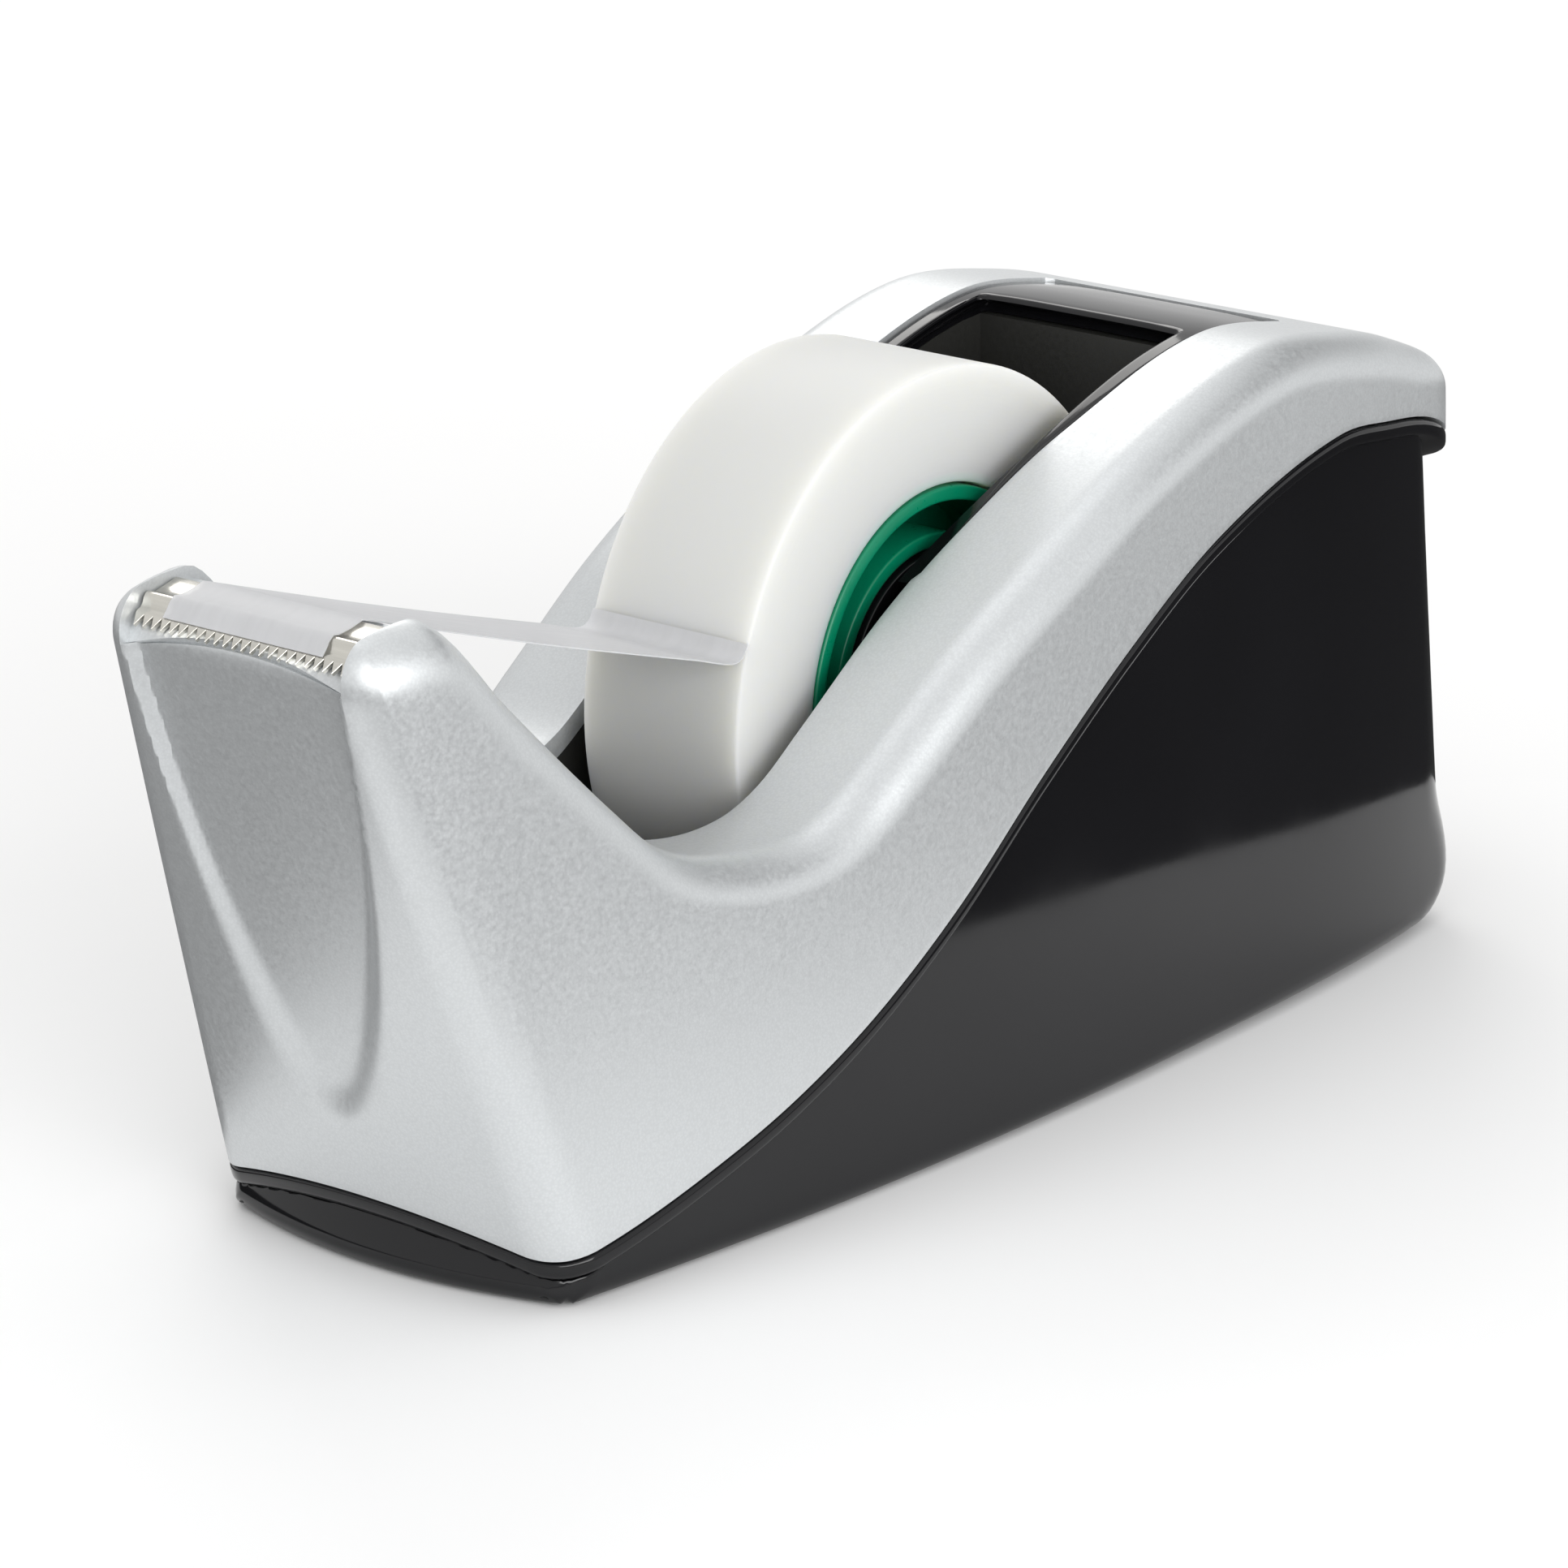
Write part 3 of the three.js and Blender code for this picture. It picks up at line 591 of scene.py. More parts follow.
# ---------------------------------------------------------------- pieces
def shell_grid(sizes):
    """Points of the shell's outer skin: loops from the opening's edge down to the seam."""
    half = CHANNEL_HALF
    front, corner, side, tail, rear = 34, 18, 124, 24, 15  # lines in each stretch
    steps = 170

    def top_edge(y):
        return CHEEK_FRONT_Z - CHANNEL_SAG * (y / half) ** 2

    # where each line starts, on the edge of the opening
    y = np.linspace(0, 12.2, front, endpoint=False)
    start_front = settle(np.stack([np.full(front, FRONT_X), y, top_edge(y)], -1), shell_distance, (1, 0, 0))
    start_corner = along([
        (FRONT_X, 12.2, top_edge(12.2)), (FRONT_X, half, top_edge(half)), (FRONT_X, half, CHEEK_FRONT_Z),
        (FRONT_X + 1.6, half, 65.6), (FRONT_X + 5.6, half, 66.6)], corner, last=False)
    start_corner = settle(start_corner, shell_distance, (1, 0, 1))
    side_end = 54.5
    x = np.linspace(FRONT_X + 5.6, side_end, side, endpoint=False)
    cheek = half - 0.7 * smoothstep((x - WELL_FRONT + 4) / 4)
    rail = np.maximum(12.5, trim_half(x) + PANEL_GAP - 0.4 * (x < TRIM_FRONT))
    opening = np.where(x < WELL_FRONT, cheek, rail)
    start_side = settle(np.stack([x, opening, roof(x)], -1), shell_distance, (0, 0, 1))
    hole, hole_end = TRIM_HALF + PANEL_GAP, PANEL_REAR + PANEL_GAP
    start_tail = along([
        (side_end, hole, 0), (PANEL_REAR - 0.4, hole, 0), (hole_end, hole - 0.7, 0), (hole_end, 9.5, 0)],
        tail, last=False)
    y = np.linspace(9.5, 0, rear)
    start_rear = np.stack([np.full(rear, hole_end), y, y * 0], -1)
    for start in (start_tail, start_rear):
        start[:, 2] = roof(start[:, 0])
    starts = np.concatenate([start_front, start_corner, start_side, start_tail, start_rear])

    # where each line ends, on the seam
    y = np.linspace(0, 17.4, front, endpoint=False)
    end_front = np.stack([np.full(front, FOOT_X), y, y * 0], -1)
    turn = np.linspace(math.pi / 2, 0, corner, endpoint=False)
    end_corner = np.stack([
        FOOT_X + NOSE_ROUND - NOSE_ROUND * np.sin(turn), 17.4 + NOSE_ROUND * np.cos(turn), turn * 0], -1)
    nose_shift = (FOOT_X + NOSE_ROUND - x[0]) * (1 - smoothstep((x - x[0]) / 82))
    tail_shift = 14.5 * smoothstep((x - 18) / (2 * (side_end - 18))) * 2
    end_x = x + nose_shift + tail_shift
    end_side = np.stack([end_x, half_width(end_x, side_seam(end_x)), end_x * 0], -1)
    flat = end_side[-1] + (end_side[-1] - end_side[-2])
    bend_x = REAR_X - REAR_ROUND
    straight = bend_x - flat[0]
    arc = REAR_ROUND * math.pi / 2
    at = np.linspace(0, straight + arc + 1.5, tail, endpoint=False)
    angle = np.clip((at - straight) / REAR_ROUND, 0, math.pi / 2)
    beyond = np.maximum(at - straight - arc, 0)
    end_tail = np.stack([
        np.where(at < straight, flat[0] + at, bend_x + REAR_ROUND * np.sin(angle)),
        10.1 + REAR_ROUND * np.cos(angle) - beyond, at * 0], -1)
    y = np.linspace(8.6, 0, rear)
    end_rear = np.stack([np.full(rear, REAR_X), y, y * 0], -1)
    ends = settle(np.concatenate([end_front, end_corner, end_side, end_tail, end_rear]),
                  shell_distance, (1, 1, 0), at_seam())
    ends = at_seam()(ends)

    # the bend of each line, where the roof turns down into the wall
    c_front = starts[:front] + (ends[:front] - starts[:front]) * 0.12
    high = 56 + 10.5 * smoothstep(np.linspace(0, 1, corner, endpoint=False))
    face = FOOT_X - NOSE_LEAN * (high - FOOT_Z)
    c_corner = np.stack([
        face + NOSE_ROUND - NOSE_ROUND * np.sin(turn),
        half_width(face, high) - NOSE_ROUND + NOSE_ROUND * np.cos(turn), high], -1)
    c_x = x + nose_shift * 0.1 + tail_shift * 0.85
    c_side = np.stack([c_x, half_width(c_x, roof(c_x)), roof(c_x)], -1)
    first, last = front + corner + side, len(starts)
    c_tail = starts[first:last] + (ends[first:last] - starts[first:last]) * 0.8
    c_tail[:, 2] = roof(c_tail[:, 0])
    blend = smoothstep(np.arange(1, tail + 1) / tail)[:, None]
    c_edge, c_start = ends[first:first + tail].copy(), starts[first:first + tail, :2]
    c_edge[:, :2] = c_start + (c_edge[:, :2] - c_start) * (0.9, 0.97)
    c_edge[:, 2] = roof(c_edge[:, 0])
    c_tail[:tail] = c_edge * (1 - blend) + c_tail[:tail] * blend
    corners = np.concatenate([c_front, c_corner, c_side, c_tail])

    path = two_legs(starts, corners, ends, steps)
    path[:, 1:-1] = settle(path, shell_distance)[:, 1:-1]
    skin = even_rows(path, sizes.rows, 9)
    return mirrored_loop(skin), front, corner


def scoop_depth(p, sizes):
    """How far the thumb scoop sinks into the nose at each point."""
    t = np.linspace(0, 1, 90)
    high = SCOOP_TOP - SCOOP_FOOT
    edge_y = CHANNEL_HALF * (1 - t) ** 3 + 3 * 11.2 * (1 - t) ** 2 * t + 3 * 7.9 * (1 - t) * t**2
    edge_z = SCOOP_FOOT + high * ((1 - t) ** 3 + 3 * 0.4 * (1 - t) ** 2 * t)
    edge_y, edge_z = np.append(CHANNEL_HALF, edge_y), np.append(SCOOP_TOP + 8, edge_z)
    wide = np.interp(p[..., 2], edge_z[::-1], edge_y[::-1], left=0)
    y = np.abs(p[..., 1])
    flat = p.reshape(-1, 3)
    gap = np.full(len(flat), 99.0)
    for y0, z0, y1, z1 in zip(edge_y, edge_z, edge_y[1:], edge_z[1:]):
        run = np.array([y1 - y0, z1 - z0])
        rel = np.stack([np.abs(flat[:, 1]) - y0, flat[:, 2] - z0], -1)
        s = np.clip(rel @ run / (run @ run), 0, 1)
        gap = np.minimum(gap, np.linalg.norm(rel - s[:, None] * run, axis=1))
    gap = gap.reshape(y.shape)
    up = np.clip((p[..., 2] - SCOOP_FOOT) / high, 0, 1)
    inside = y < wide
    into = smoothstep(gap / (4.5 - 3.3 * smoothstep(up * 1.3)))
    hollow = 0.62 + 0.38 * (1 - (y / np.maximum(wide, 1)) ** 2)
    on_face = smoothstep((nose_distance(p) + 2.2) / 1.6) * (p[..., 0] < 0)
    return np.where(inside, into * hollow * sizes.scoop * (0.5 + 0.5 * up), 0) * on_face


def inward_normals(grid, outward_hint):
    """Unit directions into the wall at each point of a looped grid."""
    along = np.roll(grid, -1, 0) - np.roll(grid, 1, 0)
    down = np.gradient(grid, axis=1)
    normal = np.cross(along, down)
    normal /= np.maximum(np.linalg.norm(normal, axis=2), 1e-9)[..., None]
    if (normal * outward_hint).sum() > 0:
        normal = -normal
    return normal


def make_top_shell(sizes, look):
    """The silver shell with its scoop and seat; gives back its skin without the scoop."""
    skin, front, corner = shell_grid(sizes)
    plain = skin.copy()
    skin[..., 0] += scoop_depth(skin, sizes)
    middle = skin - np.array([0, 0, 20])
    middle[..., 0] *= 0.3
    inward = inward_normals(skin, middle)
    wall = sizes.wall
    keep = list(range(sizes.rows - 1, 5, -6))
    under = skin + inward * wall
    under[:, -1] = skin[:, -1] + level(inward[:, -1]) * wall
    loop = len(skin)
    order = np.minimum(np.arange(loop), loop - np.arange(loop))
    lean = 1 - smoothstep((order - front) / corner)
    lip = np.stack([np.sin(lean * math.pi / 2), lean * 0, -np.cos(lean * math.pi / 2)], -1)
    under[:, 0] = skin[:, 0] + lip * 2.5
    rows = [skin[:, k] for k in range(sizes.rows)] + [under[:, k] for k in keep] + [under[:, 0]]
    shell = closed_patch("top_shell_skin", rows)
    soften(shell, sizes.edge, 3)

    # the seat between the cheeks, under the blade and the free tape
    y = np.linspace(-1, 1, 41)
    wide = CHANNEL_HALF + 0.15
    edge = CHEEK_FRONT_Z - CHANNEL_SAG * y**2 - 0.25
    edge_y, edge_x = plain[:, 0, 1][order < front], skin[:, 0, 0][order < front]
    across = np.argsort(edge_y)
    front_x = np.interp(y * CHANNEL_HALF, edge_y[across], edge_x[across])
    stations = [(-80.2, 62.9), (-79.2, 63.9), (-75.6, 64.8), (-74.3, 64.0), (-73.4, 64.4),
                *[(x, float(roof(x)) - 2.1) for x in np.linspace(-71.8, WELL_FRONT + 0.4, 12)]]
    rows = [np.stack([front_x + 0.5, y * wide, edge], -1)]
    for x, z in stations:
        rows.append(np.stack([y * 0 + x, y * wide, y * 0 + z], -1))
    floor = patch("seat", rows)
    finish_with(floor, "SOLIDIFY", thickness=1.0 * MM, offset=-1)
    shell = joined("top_shell_skin", shell, floor)
    settled(shell, "dispenser", "satin_silver", look, "top_shell", angle=32)
    return plain


def base_distance(p, z0):
    """Distance outside the base, whose lowest face lies at height z0."""
    x, y, z = p[..., 0], p[..., 1], p[..., 2]
    rear_x = BASE_REAR_X
    side = np.abs(y) - (half_width(x, z) - BASE_INSET)
    lean = 0.12 * np.clip((x - WIDEST_X) / (rear_x - WIDEST_X), 0, 1.2)
    rear = (x + lean * z - rear_x) * 0.993
    foot = z0 - 0.73 - z  # the last joint below lifts the bottom by 0.73
    tail = rounded_joint(rear, foot, 13)
    bottom = 0.8 + 2.6 * smoothstep((x + 40) / 110)
    radius = bottom + (10 - bottom) * smoothstep((x - 56) / 18) * smoothstep((z - 3) / 12)
    front_x, bow = FOOT_X - 0.45, BASE_FRONT_BOW
    chord = half_width(front_x + bow, 0.0) - BASE_INSET
    bend = (chord**2 + bow**2) / (2 * bow)
    hollow = 1.3 * smoothstep((z - z0 - 0.8) / 5)
    front = np.hypot(np.minimum(x - front_x - bend, 0), y) - (bend - hollow)
    front = rounded_joint(front, foot, 0.9)
    body = np.minimum(np.maximum(side, tail), -radius) + np.hypot(
        np.maximum(side + radius, 0), np.maximum(tail + radius, 0))
    return rounded_joint(body, front, 2.5)


def make_base(sizes, look, plain):
    """The base's thin walls, with the bead that runs along the seam; gives back the pad's rim."""
    z0 = sizes.foot
    ends = plain[:, -1]
    bead_top, bead_end = BEAD_GAP, BEAD_GAP + sizes.bead
    profile = [
        (2.7, bead_top + 0.05), (1.4, bead_top), (0.5, bead_top), (0.2, bead_top + 0.08),
        (0.05, bead_top + 0.28), (0.0, bead_top + 0.6), (0.0, bead_end - 0.55),
        (0.06, bead_end - 0.25), (0.22, bead_end - 0.06), (0.5, bead_end + 0.06),
    ]
    rows = [
        settle(at_seam(drop)(ends), lambda q, i=inset: wall_distance(q) + i, (1, 1, 0))
        for inset, drop in profile
    ]
    top = at_seam(bead_end + 0.35)(ends)
    top = settle(top, lambda q: base_distance(q, z0 - 9), (1, 1, 0))
    drop_low = top.copy()
    drop_low[:, 2] = z0
    sharp = settle(drop_low, lambda q: base_distance(q, z0 - 40), (1, 1, 0))
    inward = level(inward_normals(np.stack([top, sharp - (0, 0, 3)], 1), sharp[:, None] * (0.3, 1, 0))[:, 0])
    inner = sharp + inward * 2.3
    rear = sharp[:, 0] > 66
    inner[rear, 0] = np.minimum(inner[rear, 0], 68.4)
    path = two_legs(top, sharp, inner, 120)
    path[:, 1:] = settle(path, lambda q: base_distance(q, z0))[:, 1:]
    wall_rows = 34
    wall = even_rows(path, wall_rows, 6)
    inside = inward_normals(wall, wall * (0.3, 1, 0) + (0, 0, -20))
    under = wall + inside * 1.9
    rows += [wall[:, k] for k in range(wall_rows)]
    rows += [wall[:, -1] + (0, 0, 1.2)] + [under[:, k] for k in (24, 18, 12, 6)]
    rows += [rows[0] - (0, 0, 1.2)]
    base = closed_patch("base_shell", rows)
    settled(base, "dispenser", "gloss_black", look, "base_casing", angle=50)
    pad_rim = sharp + inward * PAD_INSET
    pad_rim[:, 0] = np.clip(pad_rim[:, 0], -59.5, 66)
    return pad_rim, inward


def make_grip_pad(rim, inward, look):
    """The foam pad that the base stands on, its edges pressed round."""
    thick = 1.1
    profile = (
        (2.0, 0.0), (0.5, 0.0), (0.12, 0.12), (0.0, 0.4),
        (0.0, 0.75), (0.15, 1.0), (0.5, thick), (2.0, thick),
    )
    rows = []
    for inset, z in profile:
        p = rim + inward * inset
        p[:, 2] = z
        rows.append(p)
    spine = rim * (1, 0, 0)
    rows = np.array([spine, *rows, spine + (0, 0, thick)])
    pad = patch("grip_pad_foam", np.concatenate([rows, rows[:, :1]], axis=1))
    edit(pad)
    bpy.ops.mesh.remove_doubles(threshold=1e-6)
    bpy.ops.mesh.dissolve_degenerate(threshold=1e-6)
    bpy.ops.object.mode_set(mode="OBJECT")
    face_out(pad)
    settled(pad, "dispenser", "grey_foam", look, "grip_pad", angle=50)


def make_rear_panel(look):
    """The gloss strips beside the well and the panel behind it."""
    strip, turn, ease = 70, 46, 0.45
    strip_end, well_half = 38, 12.5
    x = np.linspace(TRIM_FRONT, strip_end, strip, endpoint=False)
    inner = np.stack([x, np.full(strip, well_half)], -1)
    stretch = 1 + 0.12 * smoothstep((x - 10) / 28)
    outer = np.stack([TRIM_FRONT + (x - TRIM_FRONT) * stretch, trim_half(x)], -1)
    inner = np.concatenate([inner, along([
        (strip_end, well_half), (WELL_REAR - 0.5, well_half), (WELL_REAR, 12), (WELL_REAR, 0)], turn)])
    outer = np.concatenate([outer, along([
        (outer[-1, 0] + 0.6, TRIM_HALF), (PANEL_REAR - 1, TRIM_HALF),
        (PANEL_REAR, TRIM_HALF - 1), (PANEL_REAR, 0)], turn)])
    inner = np.concatenate([inner, inner[-2::-1] * (1, -1)])
    outer = np.concatenate([outer, outer[-2::-1] * (1, -1)])
    rows = []
    width = np.linalg.norm(outer - inner, axis=1)
    for share in (0, 0.015, 0.05, 0.12, 0.25, 0.4, 0.5, 0.6, 0.75, 0.88, 0.95, 0.985, 1):
        flat = inner * (1 - share) + outer * share
        gap = np.minimum(share, 1 - share) * width
        fall = ease - np.sqrt(np.maximum(ease**2 - np.maximum(ease - gap, 0) ** 2, 0))
        crown = 0.5 * (np.abs(flat[:, 1]) / TRIM_HALF) ** 4
        z = roof(flat[:, 0]) - fall - 0.1 - crown * 0.6
        rows.append(np.stack([flat[:, 0], flat[:, 1], z], -1))
    panel = patch("rear_panel_gloss", rows)
    finish_with(panel, "SOLIDIFY", thickness=2 * MM, offset=-1)
    face_out(panel)
    settled(panel, "dispenser", "gloss_black", look, "rear_panel", angle=60)


def make_blade(sizes, look):
    """The bent, toothed strip: landing, rounded ridge, groove, and a fine saw edge."""
    teeth, wide = sizes.teeth, 12.9
    y = np.linspace(-wide, wide, 2 * teeth + 1)
    edge_x, edge_z = -80.9, 64.35
    profile = [
        (-74.62, 64.3), (-74.95, 65.3), (-75.3, 65.95), (-75.9, 66.15),  # back fold
        (-77.6, 65.72), (-78.8, 65.45), (-79.15, 65.62), (-79.5, 65.72),  # landing and ridge
        (-79.85, 65.6), (-80.1, 65.25), (-80.3, 64.75), (-80.55, 64.45), (edge_x, edge_z),
    ]
    rows = [np.stack([np.full(len(y), x), y, np.full(len(y), z)], -1) for x, z in profile]
    tip = np.arange(len(y)) % 2 == 1
    reach = np.where(tip, 1.15, 0.25)
    for share in (0.35, 0.7, 1.0):
        rows.append(np.stack([edge_x - reach * share, y, edge_z - 0.95 * reach * share], -1))
    blade = patch("cutting_blade_strip", rows)
    finish_with(blade, "SOLIDIFY", thickness=0.45 * MM, offset=-1)
    face_out(blade)
    soften(blade, 0.06, 1)
    settled(blade, "dispenser", "nickel", look, "cutting_blade", angle=40)


def make_tape_strip(look):
    """The free tape: stuck to the blade, straight over the valley, curling onto the roll."""
    leaves, bends = np.array((-75.9, 66.38)), np.array((-30.0, 51.55))
    ridge = [
        (-81.2, 64.25), (-80.75, 64.75), (-80.25, 65.45), (-79.7, 65.9), (-78.9, 65.8), (-77.4, 66.0),
        tuple(leaves),
    ]
    sag = 0.25
    straight = [
        tuple(leaves + (bends - leaves) * t - np.array((0, sag * math.sin(math.pi * t))))
        for t in np.linspace(0.04, 1, 34)
    ]
    way = (bends - leaves) / np.linalg.norm(bends - leaves)
    angle = math.radians(160.5)  # where the tape meets the roll
    outward = np.array((math.cos(angle), math.sin(angle)))
    land = np.array((ROLL_X, ROLL_Z)) + (ROLL_RADIUS + 0.12) * outward
    up = np.array((math.sin(angle), -math.cos(angle)))
    c1, c2 = bends + way * 4.9, land - up * 2.7
    curl = [
        tuple(bends * (1 - t) ** 3 + 3 * c1 * t * (1 - t) ** 2 + 3 * c2 * t * t * (1 - t) + land * t**3)
        for t in np.linspace(0.06, 1, 20)
    ]
    y = np.linspace(-1, 1, 25)
    rows = []
    for x, z in ridge + straight + curl:
        droop = 0.15 * math.sin(math.pi * min(1, max(0, (x - leaves[0]) / 51)))
        rows.append(np.stack([y * 0 + x, y * TAPE_HALF, z - droop * (1 - y**2)], -1))
    strip = patch("free_tape", rows)
    finish_with(strip, "SOLIDIFY", thickness=0.12 * MM, offset=0)
    face_out(strip)
    settled(strip, "axle", "tape_film", look, "tape_strip", angle=60)


def make_roll(look_tape, look_core, look_hub, look_axle):
    """The wound tape, the green core, the two hub halves and the axle."""
    half, wall, gap = TAPE_HALF, 1.5, 0.3
    inner = CORE_RADIUS + gap
    tape = turned("tape_roll_wound", eased([
        (inner, -half), (ROLL_RADIUS, -half), (ROLL_RADIUS, half), (inner, half)], 0.35), steps=160)
    settled(tape, "hub", "tape_film", look_tape, "tape_roll", angle=50)
    core_half, web, bore = half - 1.2, 1.0, 12.7
    rim = CORE_RADIUS - wall
    core = turned("tape_core_ring", eased([
        (bore, -core_half), (bore + wall, -core_half), (bore + wall, -web), (rim, -web),
        (rim, -half), (CORE_RADIUS, -half), (CORE_RADIUS, half), (rim, half),
        (rim, web), (bore + wall, web), (bore + wall, core_half), (bore, core_half)], 0.3), steps=128)
    settled(core, "hub", "green_core", look_core, "tape_core", angle=50)
    outer, hole, end = bore - gap, 3.3, half - 0.7
    web_y = end - 3.5
    profile = [
        (hole, gap), (hole + wall, gap), (hole + wall, web_y), (outer - wall, web_y),
        (outer - wall, gap), (outer, gap), (outer, end), (outer - wall, end),
        (outer - wall, web_y + wall), (hole + wall, web_y + wall), (hole + wall, end), (hole, end),
    ]
    for side, name in ((1, "right"), (-1, "left")):
        hub = turned("hub_" + name, eased([(r, y * side) for r, y in profile][::side], 0.3), steps=96)
        settled(hub, "hub", "gloss_black", look_hub, "hub_half_" + name, angle=50)
    reach = box_mm("hub_axle")[1][1]
    radius, centre = 3, 0.02
    axle = turned("hub_axle_pin", eased([
        (centre, -reach), (radius, -reach), (radius, reach), (centre, reach)], 0.5), steps=48)
    edit(axle)
    bpy.ops.mesh.remove_doubles(threshold=5e-5)
    bpy.ops.object.mode_set(mode="OBJECT")
    face_out(axle)
    settled(axle, "axle", "well_black", look_axle, "hub_axle", angle=50)


def make_foot(look_well, look_iron, look_zinc):
    """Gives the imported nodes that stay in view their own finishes."""
    finishes = (
        (look_well, ("bottom_plate", "tape_well", "axle_cradle_left", "axle_cradle_right")),
        (look_iron, ("ballast_front", "ballast_rear")),
        (look_zinc, [f"base_screw_{i}" for i in range(1, 5)]),
    )
    for look, names in finishes:
        for name in names:
            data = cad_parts[name].data
            if not data.materials:
                data.materials.append(look)
            for i in range(len(data.materials)):
                data.materials[i] = look


# ---------------------------------------------------------------- stage
def softbox(name, place, target, size, power, colour=(1, 1, 1)):
    bpy.ops.object.light_add(type="AREA", location=place)
    lamp = bpy.context.object
    lamp.name = name
    lamp.data.shape = "RECTANGLE"
    lamp.data.size, lamp.data.size_y = size
    lamp.data.energy = power
    lamp.data.color = colour
    lamp.rotation_euler = (Vector(target) - Vector(place)).to_track_quat("-Z", "Y").to_euler()


def reflected_only(card, level):
    """A card that shows in reflections alone, as a studio flag does."""
    look = Look(card.name + "_cloth")
    look.colours(look.noise(8, 2), [(0.3, (level,) * 3), (0.7, (level * 1.1,) * 3)])
    look.set(Roughness=1.0, Specular_IOR_Level=0.0)
    card.data.materials.append(look.material)
    card.visible_camera = card.visible_diffuse = card.visible_shadow = card.visible_transmission = False


def dark_card(name, place, target, size):
    clear_selection()
    bpy.ops.mesh.primitive_plane_add(size=1)
    card = bpy.context.object
    card.name = card.data.name = name
    turn = (Vector(target) - Vector(place)).to_track_quat("-Z", "Y").to_matrix().to_4x4()
    card.data.transform(Matrix.Translation(place) @ turn @ Matrix.Diagonal((*size, 1, 1)))
    reflected_only(card, 0.03)


def dark_ring(name, centre, inner, outer):
    """Dark cloth on the floor round the white table."""
    clear_selection()
    bpy.ops.mesh.primitive_circle_add(vertices=96, radius=1, fill_type="NOTHING")
    card = bpy.context.object
    card.name = card.data.name = name
    edit(card)
    bpy.ops.transform.resize(value=(*inner, 1))
    bpy.ops.transform.translate(value=(*centre, 0))
    bpy.ops.mesh.extrude_region_move()
    bpy.ops.transform.resize(value=(outer / inner[0], outer / inner[1], 1))
    bpy.ops.transform.translate(value=(0, 0, 0.0006))
    bpy.ops.object.mode_set(mode="OBJECT")
    reflected_only(card, 0.05)


LENS = 146.3
EYE = (-0.46815, -0.36860, 0.22662)
EYE_BACK = (-0.7428, -0.5914, 0.3137)


def make_camera():
    camera = bpy.data.cameras.new("studio_camera")
    camera.lens, camera.sensor_width = LENS, 36
    camera.clip_start, camera.clip_end = 0.01, 20
    eye = bpy.data.objects.new("studio_camera", camera)
    bpy.context.scene.collection.objects.link(eye)
    back = Vector(EYE_BACK).normalized()
    right = Vector((0, 0, 1)).cross(back).normalized()
    up = back.cross(right)
    eye.matrix_world = Matrix((
        (right.x, up.x, back.x, EYE[0]),
        (right.y, up.y, back.y, EYE[1]),
        (right.z, up.z, back.z, EYE[2]),
        (0, 0, 0, 1),
    ))
    bpy.context.scene.camera = eye


def make_stage():
    scene = bpy.context.scene
    clear_selection()
    bpy.ops.mesh.primitive_grid_add(x_subdivisions=8, y_subdivisions=8, size=8, location=(0, 0, 0))
    floor = bpy.context.object
    floor.name = floor.data.name = "studio_floor"
    look = Look("pale_floor")
    look.colours(look.noise(3, 2), [(0.3, (0.93, 0.93, 0.93)), (0.7, (0.95, 0.95, 0.95))])
    look.set(Roughness=0.9, Specular_IOR_Level=0.1)
    floor.data.materials.append(look.material)
    world = bpy.data.worlds.new("studio")
    scene.world = world
    world.use_nodes = True
    sky = world.node_tree.nodes["Background"]
    sky.inputs["Color"].default_value = (1, 1, 1, 1)
    sky.inputs["Strength"].default_value = 0.8
    softbox("key_softbox", (-0.42, -0.92, 0.36), (0, 0, 0.04), (0.9, 0.5), 6.5)
    softbox("top_softbox", (0.05, 0.1, 0.95), (0, 0, 0.03), (0.7, 0.5), 0.7)
    softbox("far_softbox", (0.52, 0.6, 0.64), (0, 0, 0.05), (0.5, 0.4), 1.5, (1.0, 0.985, 0.96))
    dark_card("overhead_flag", (0.76, -0.28, 0.58), (0, 0, 0.03), (1.15, 0.5))
    dark_ring("floor_flag", (-0.02, -0.026), (0.15, 0.062), 0.5)
    make_camera()
    scene.view_settings.view_transform = "Standard"


# ---------------------------------------------------------------- settings a user would change
def length(name, description, default):
    return FloatProperty(name=name, description=description, default=default * MM, min=0.0,
                         subtype="DISTANCE", unit="LENGTH")


def paint(name, description, default):
    return FloatVectorProperty(name=name, description=description, default=default, size=3,
                               min=0, max=1, subtype="COLOR")


class DispenserSizes(bpy.types.PropertyGroup):
    shell_wall: length("Shell wall", "Thickness of the silver shell", 2.0)
    shell_edge: length("Shell edge", "Rounding of the shell's cut edges", 0.45)
    scoop: length("Scoop depth", "Depth of the thumb scoop in the nose", 2.2)
    bead: length("Bead height", "Height of the bead along the seam", 1.7)
    foot: length("Base foot", "Height of the base's lower edge above the desk", 0.35)
    teeth: IntProperty(name="Teeth", description="Number of teeth on the blade", default=24, min=6, max=60)
    shell_rows: IntProperty(name="Shell rows", description="Rows of faces from the opening to the seam",
                            default=58, min=20, max=80)


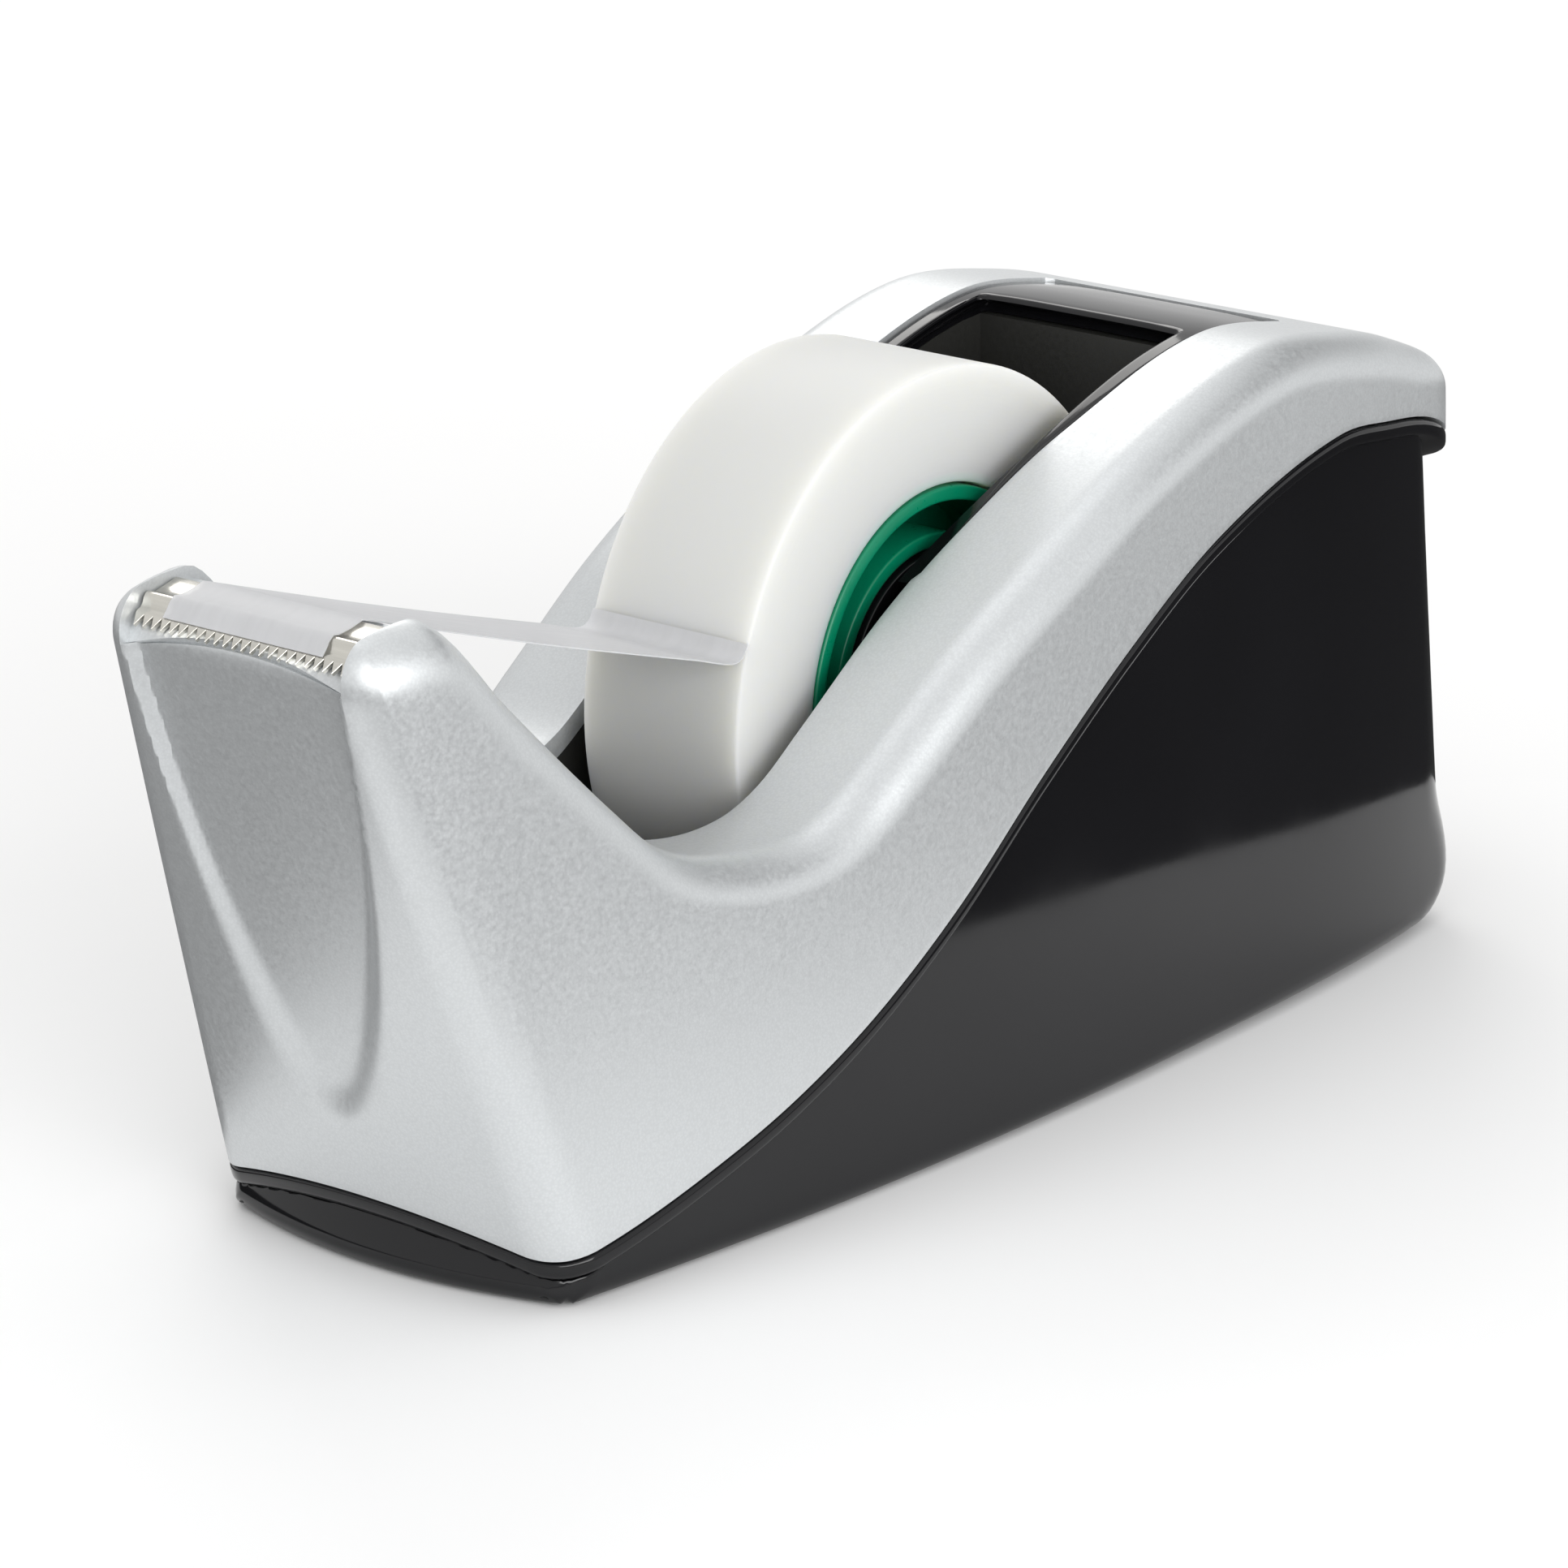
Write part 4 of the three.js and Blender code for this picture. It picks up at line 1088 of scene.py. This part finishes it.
class DispenserFinishes(bpy.types.PropertyGroup):
    silver: paint("Silver", "Satin paint of the shell", (0.65, 0.67, 0.68))
    silver_roughness: FloatProperty(name="Silver roughness", description="How satin the shell is",
                                    default=0.4, min=0.05, max=1, subtype="FACTOR")
    black: paint("Gloss black", "Plastic of the base and panel", (0.006, 0.006, 0.007))
    well: paint("Well black", "Plastic inside the well", (0.022, 0.022, 0.02))
    nickel: paint("Nickel", "Plating of the blade", (0.74, 0.72, 0.66))
    foam: paint("Foam", "Pad under the base", (0.05, 0.05, 0.055))
    green: paint("Core green", "Plastic of the tape core", (0.0, 0.2, 0.1))
    tape: paint("Wound tape", "Colour of the wound tape", (0.64, 0.645, 0.63))
    film: paint("Tape film", "Colour of one layer of tape", (0.78, 0.785, 0.8))


class Plain:
    """The sizes in millimetres."""

    def __init__(self, s):
        self.wall, self.edge, self.scoop = s.shell_wall / MM, s.shell_edge / MM, s.scoop / MM
        self.bead, self.foot, self.teeth, self.rows = s.bead / MM, s.foot / MM, s.teeth, s.shell_rows


def sizes_of(context):
    return Plain(context.scene.dispenser_sizes)


class DISPENSER_OT_housing(bpy.types.Operator):
    """Builds the silver shell, the black base on its foam pad, and the gloss panel"""
    bl_idname = "dispenser.housing"
    bl_label = "Housing"

    def execute(self, context):
        sizes, finishes = sizes_of(context), context.scene.dispenser_finishes
        black = gloss_black_look(finishes)
        plain = make_top_shell(sizes, satin_silver_look(finishes))
        make_grip_pad(*make_base(sizes, black, plain), foam_look(finishes))
        make_rear_panel(black)
        return {"FINISHED"}


class DISPENSER_OT_blade(bpy.types.Operator):
    """Builds the toothed blade and the free tape stuck to it"""
    bl_idname = "dispenser.blade"
    bl_label = "Blade and free tape"

    def execute(self, context):
        sizes, finishes = sizes_of(context), context.scene.dispenser_finishes
        make_blade(sizes, nickel_look(finishes))
        make_tape_strip(tape_film_look(finishes))
        return {"FINISHED"}


class DISPENSER_OT_roll(bpy.types.Operator):
    """Builds the tape roll with its core, hub and axle"""
    bl_idname = "dispenser.roll"
    bl_label = "Roll and hub"

    def execute(self, context):
        finishes = context.scene.dispenser_finishes
        make_roll(tape_roll_look(finishes), green_look(finishes),
                  bpy.data.materials["gloss_black_plastic"], well_black_look(finishes))
        return {"FINISHED"}


class DISPENSER_OT_foot(bpy.types.Operator):
    """Finishes the well, cradles, plate, weights and screws"""
    bl_idname = "dispenser.foot"
    bl_label = "Well and foot"

    def execute(self, context):
        make_foot(bpy.data.materials["well_black_plastic"], cast_iron_look(), zinc_look())
        return {"FINISHED"}


class DISPENSER_OT_stage(bpy.types.Operator):
    """Sets the floor, the lights and the camera"""
    bl_idname = "dispenser.stage"
    bl_label = "Stage"

    def execute(self, context):
        make_stage()
        return {"FINISHED"}


class DISPENSER_PT_panel(bpy.types.Panel):
    bl_label = "Tape Dispenser"
    bl_idname = "DISPENSER_PT_panel"
    bl_space_type = "VIEW_3D"
    bl_region_type = "UI"
    bl_category = "Tape Dispenser"

    def draw(self, context):
        for group in (context.scene.dispenser_sizes, context.scene.dispenser_finishes):
            for key in group.bl_rna.properties.keys():
                if key not in ("rna_type", "name"):
                    self.layout.prop(group, key)
        for operator in OPERATORS:
            self.layout.operator(operator.bl_idname)


OPERATORS = (DISPENSER_OT_stage, DISPENSER_OT_housing, DISPENSER_OT_blade, DISPENSER_OT_roll, DISPENSER_OT_foot)
CLASSES = (DispenserSizes, DispenserFinishes, *OPERATORS, DISPENSER_PT_panel)


def register():
    for cls in CLASSES:
        bpy.utils.register_class(cls)
    bpy.types.Scene.dispenser_sizes = PointerProperty(type=DispenserSizes)
    bpy.types.Scene.dispenser_finishes = PointerProperty(type=DispenserFinishes)


def unregister():
    del bpy.types.Scene.dispenser_sizes, bpy.types.Scene.dispenser_finishes
    for cls in reversed(CLASSES):
        bpy.utils.unregister_class(cls)


def main():
    register()
    bpy.ops.dispenser.stage()
    bpy.ops.dispenser.housing()
    bpy.ops.dispenser.blade()
    bpy.ops.dispenser.roll()
    bpy.ops.dispenser.foot()


if __name__ == "__main__":
    main()
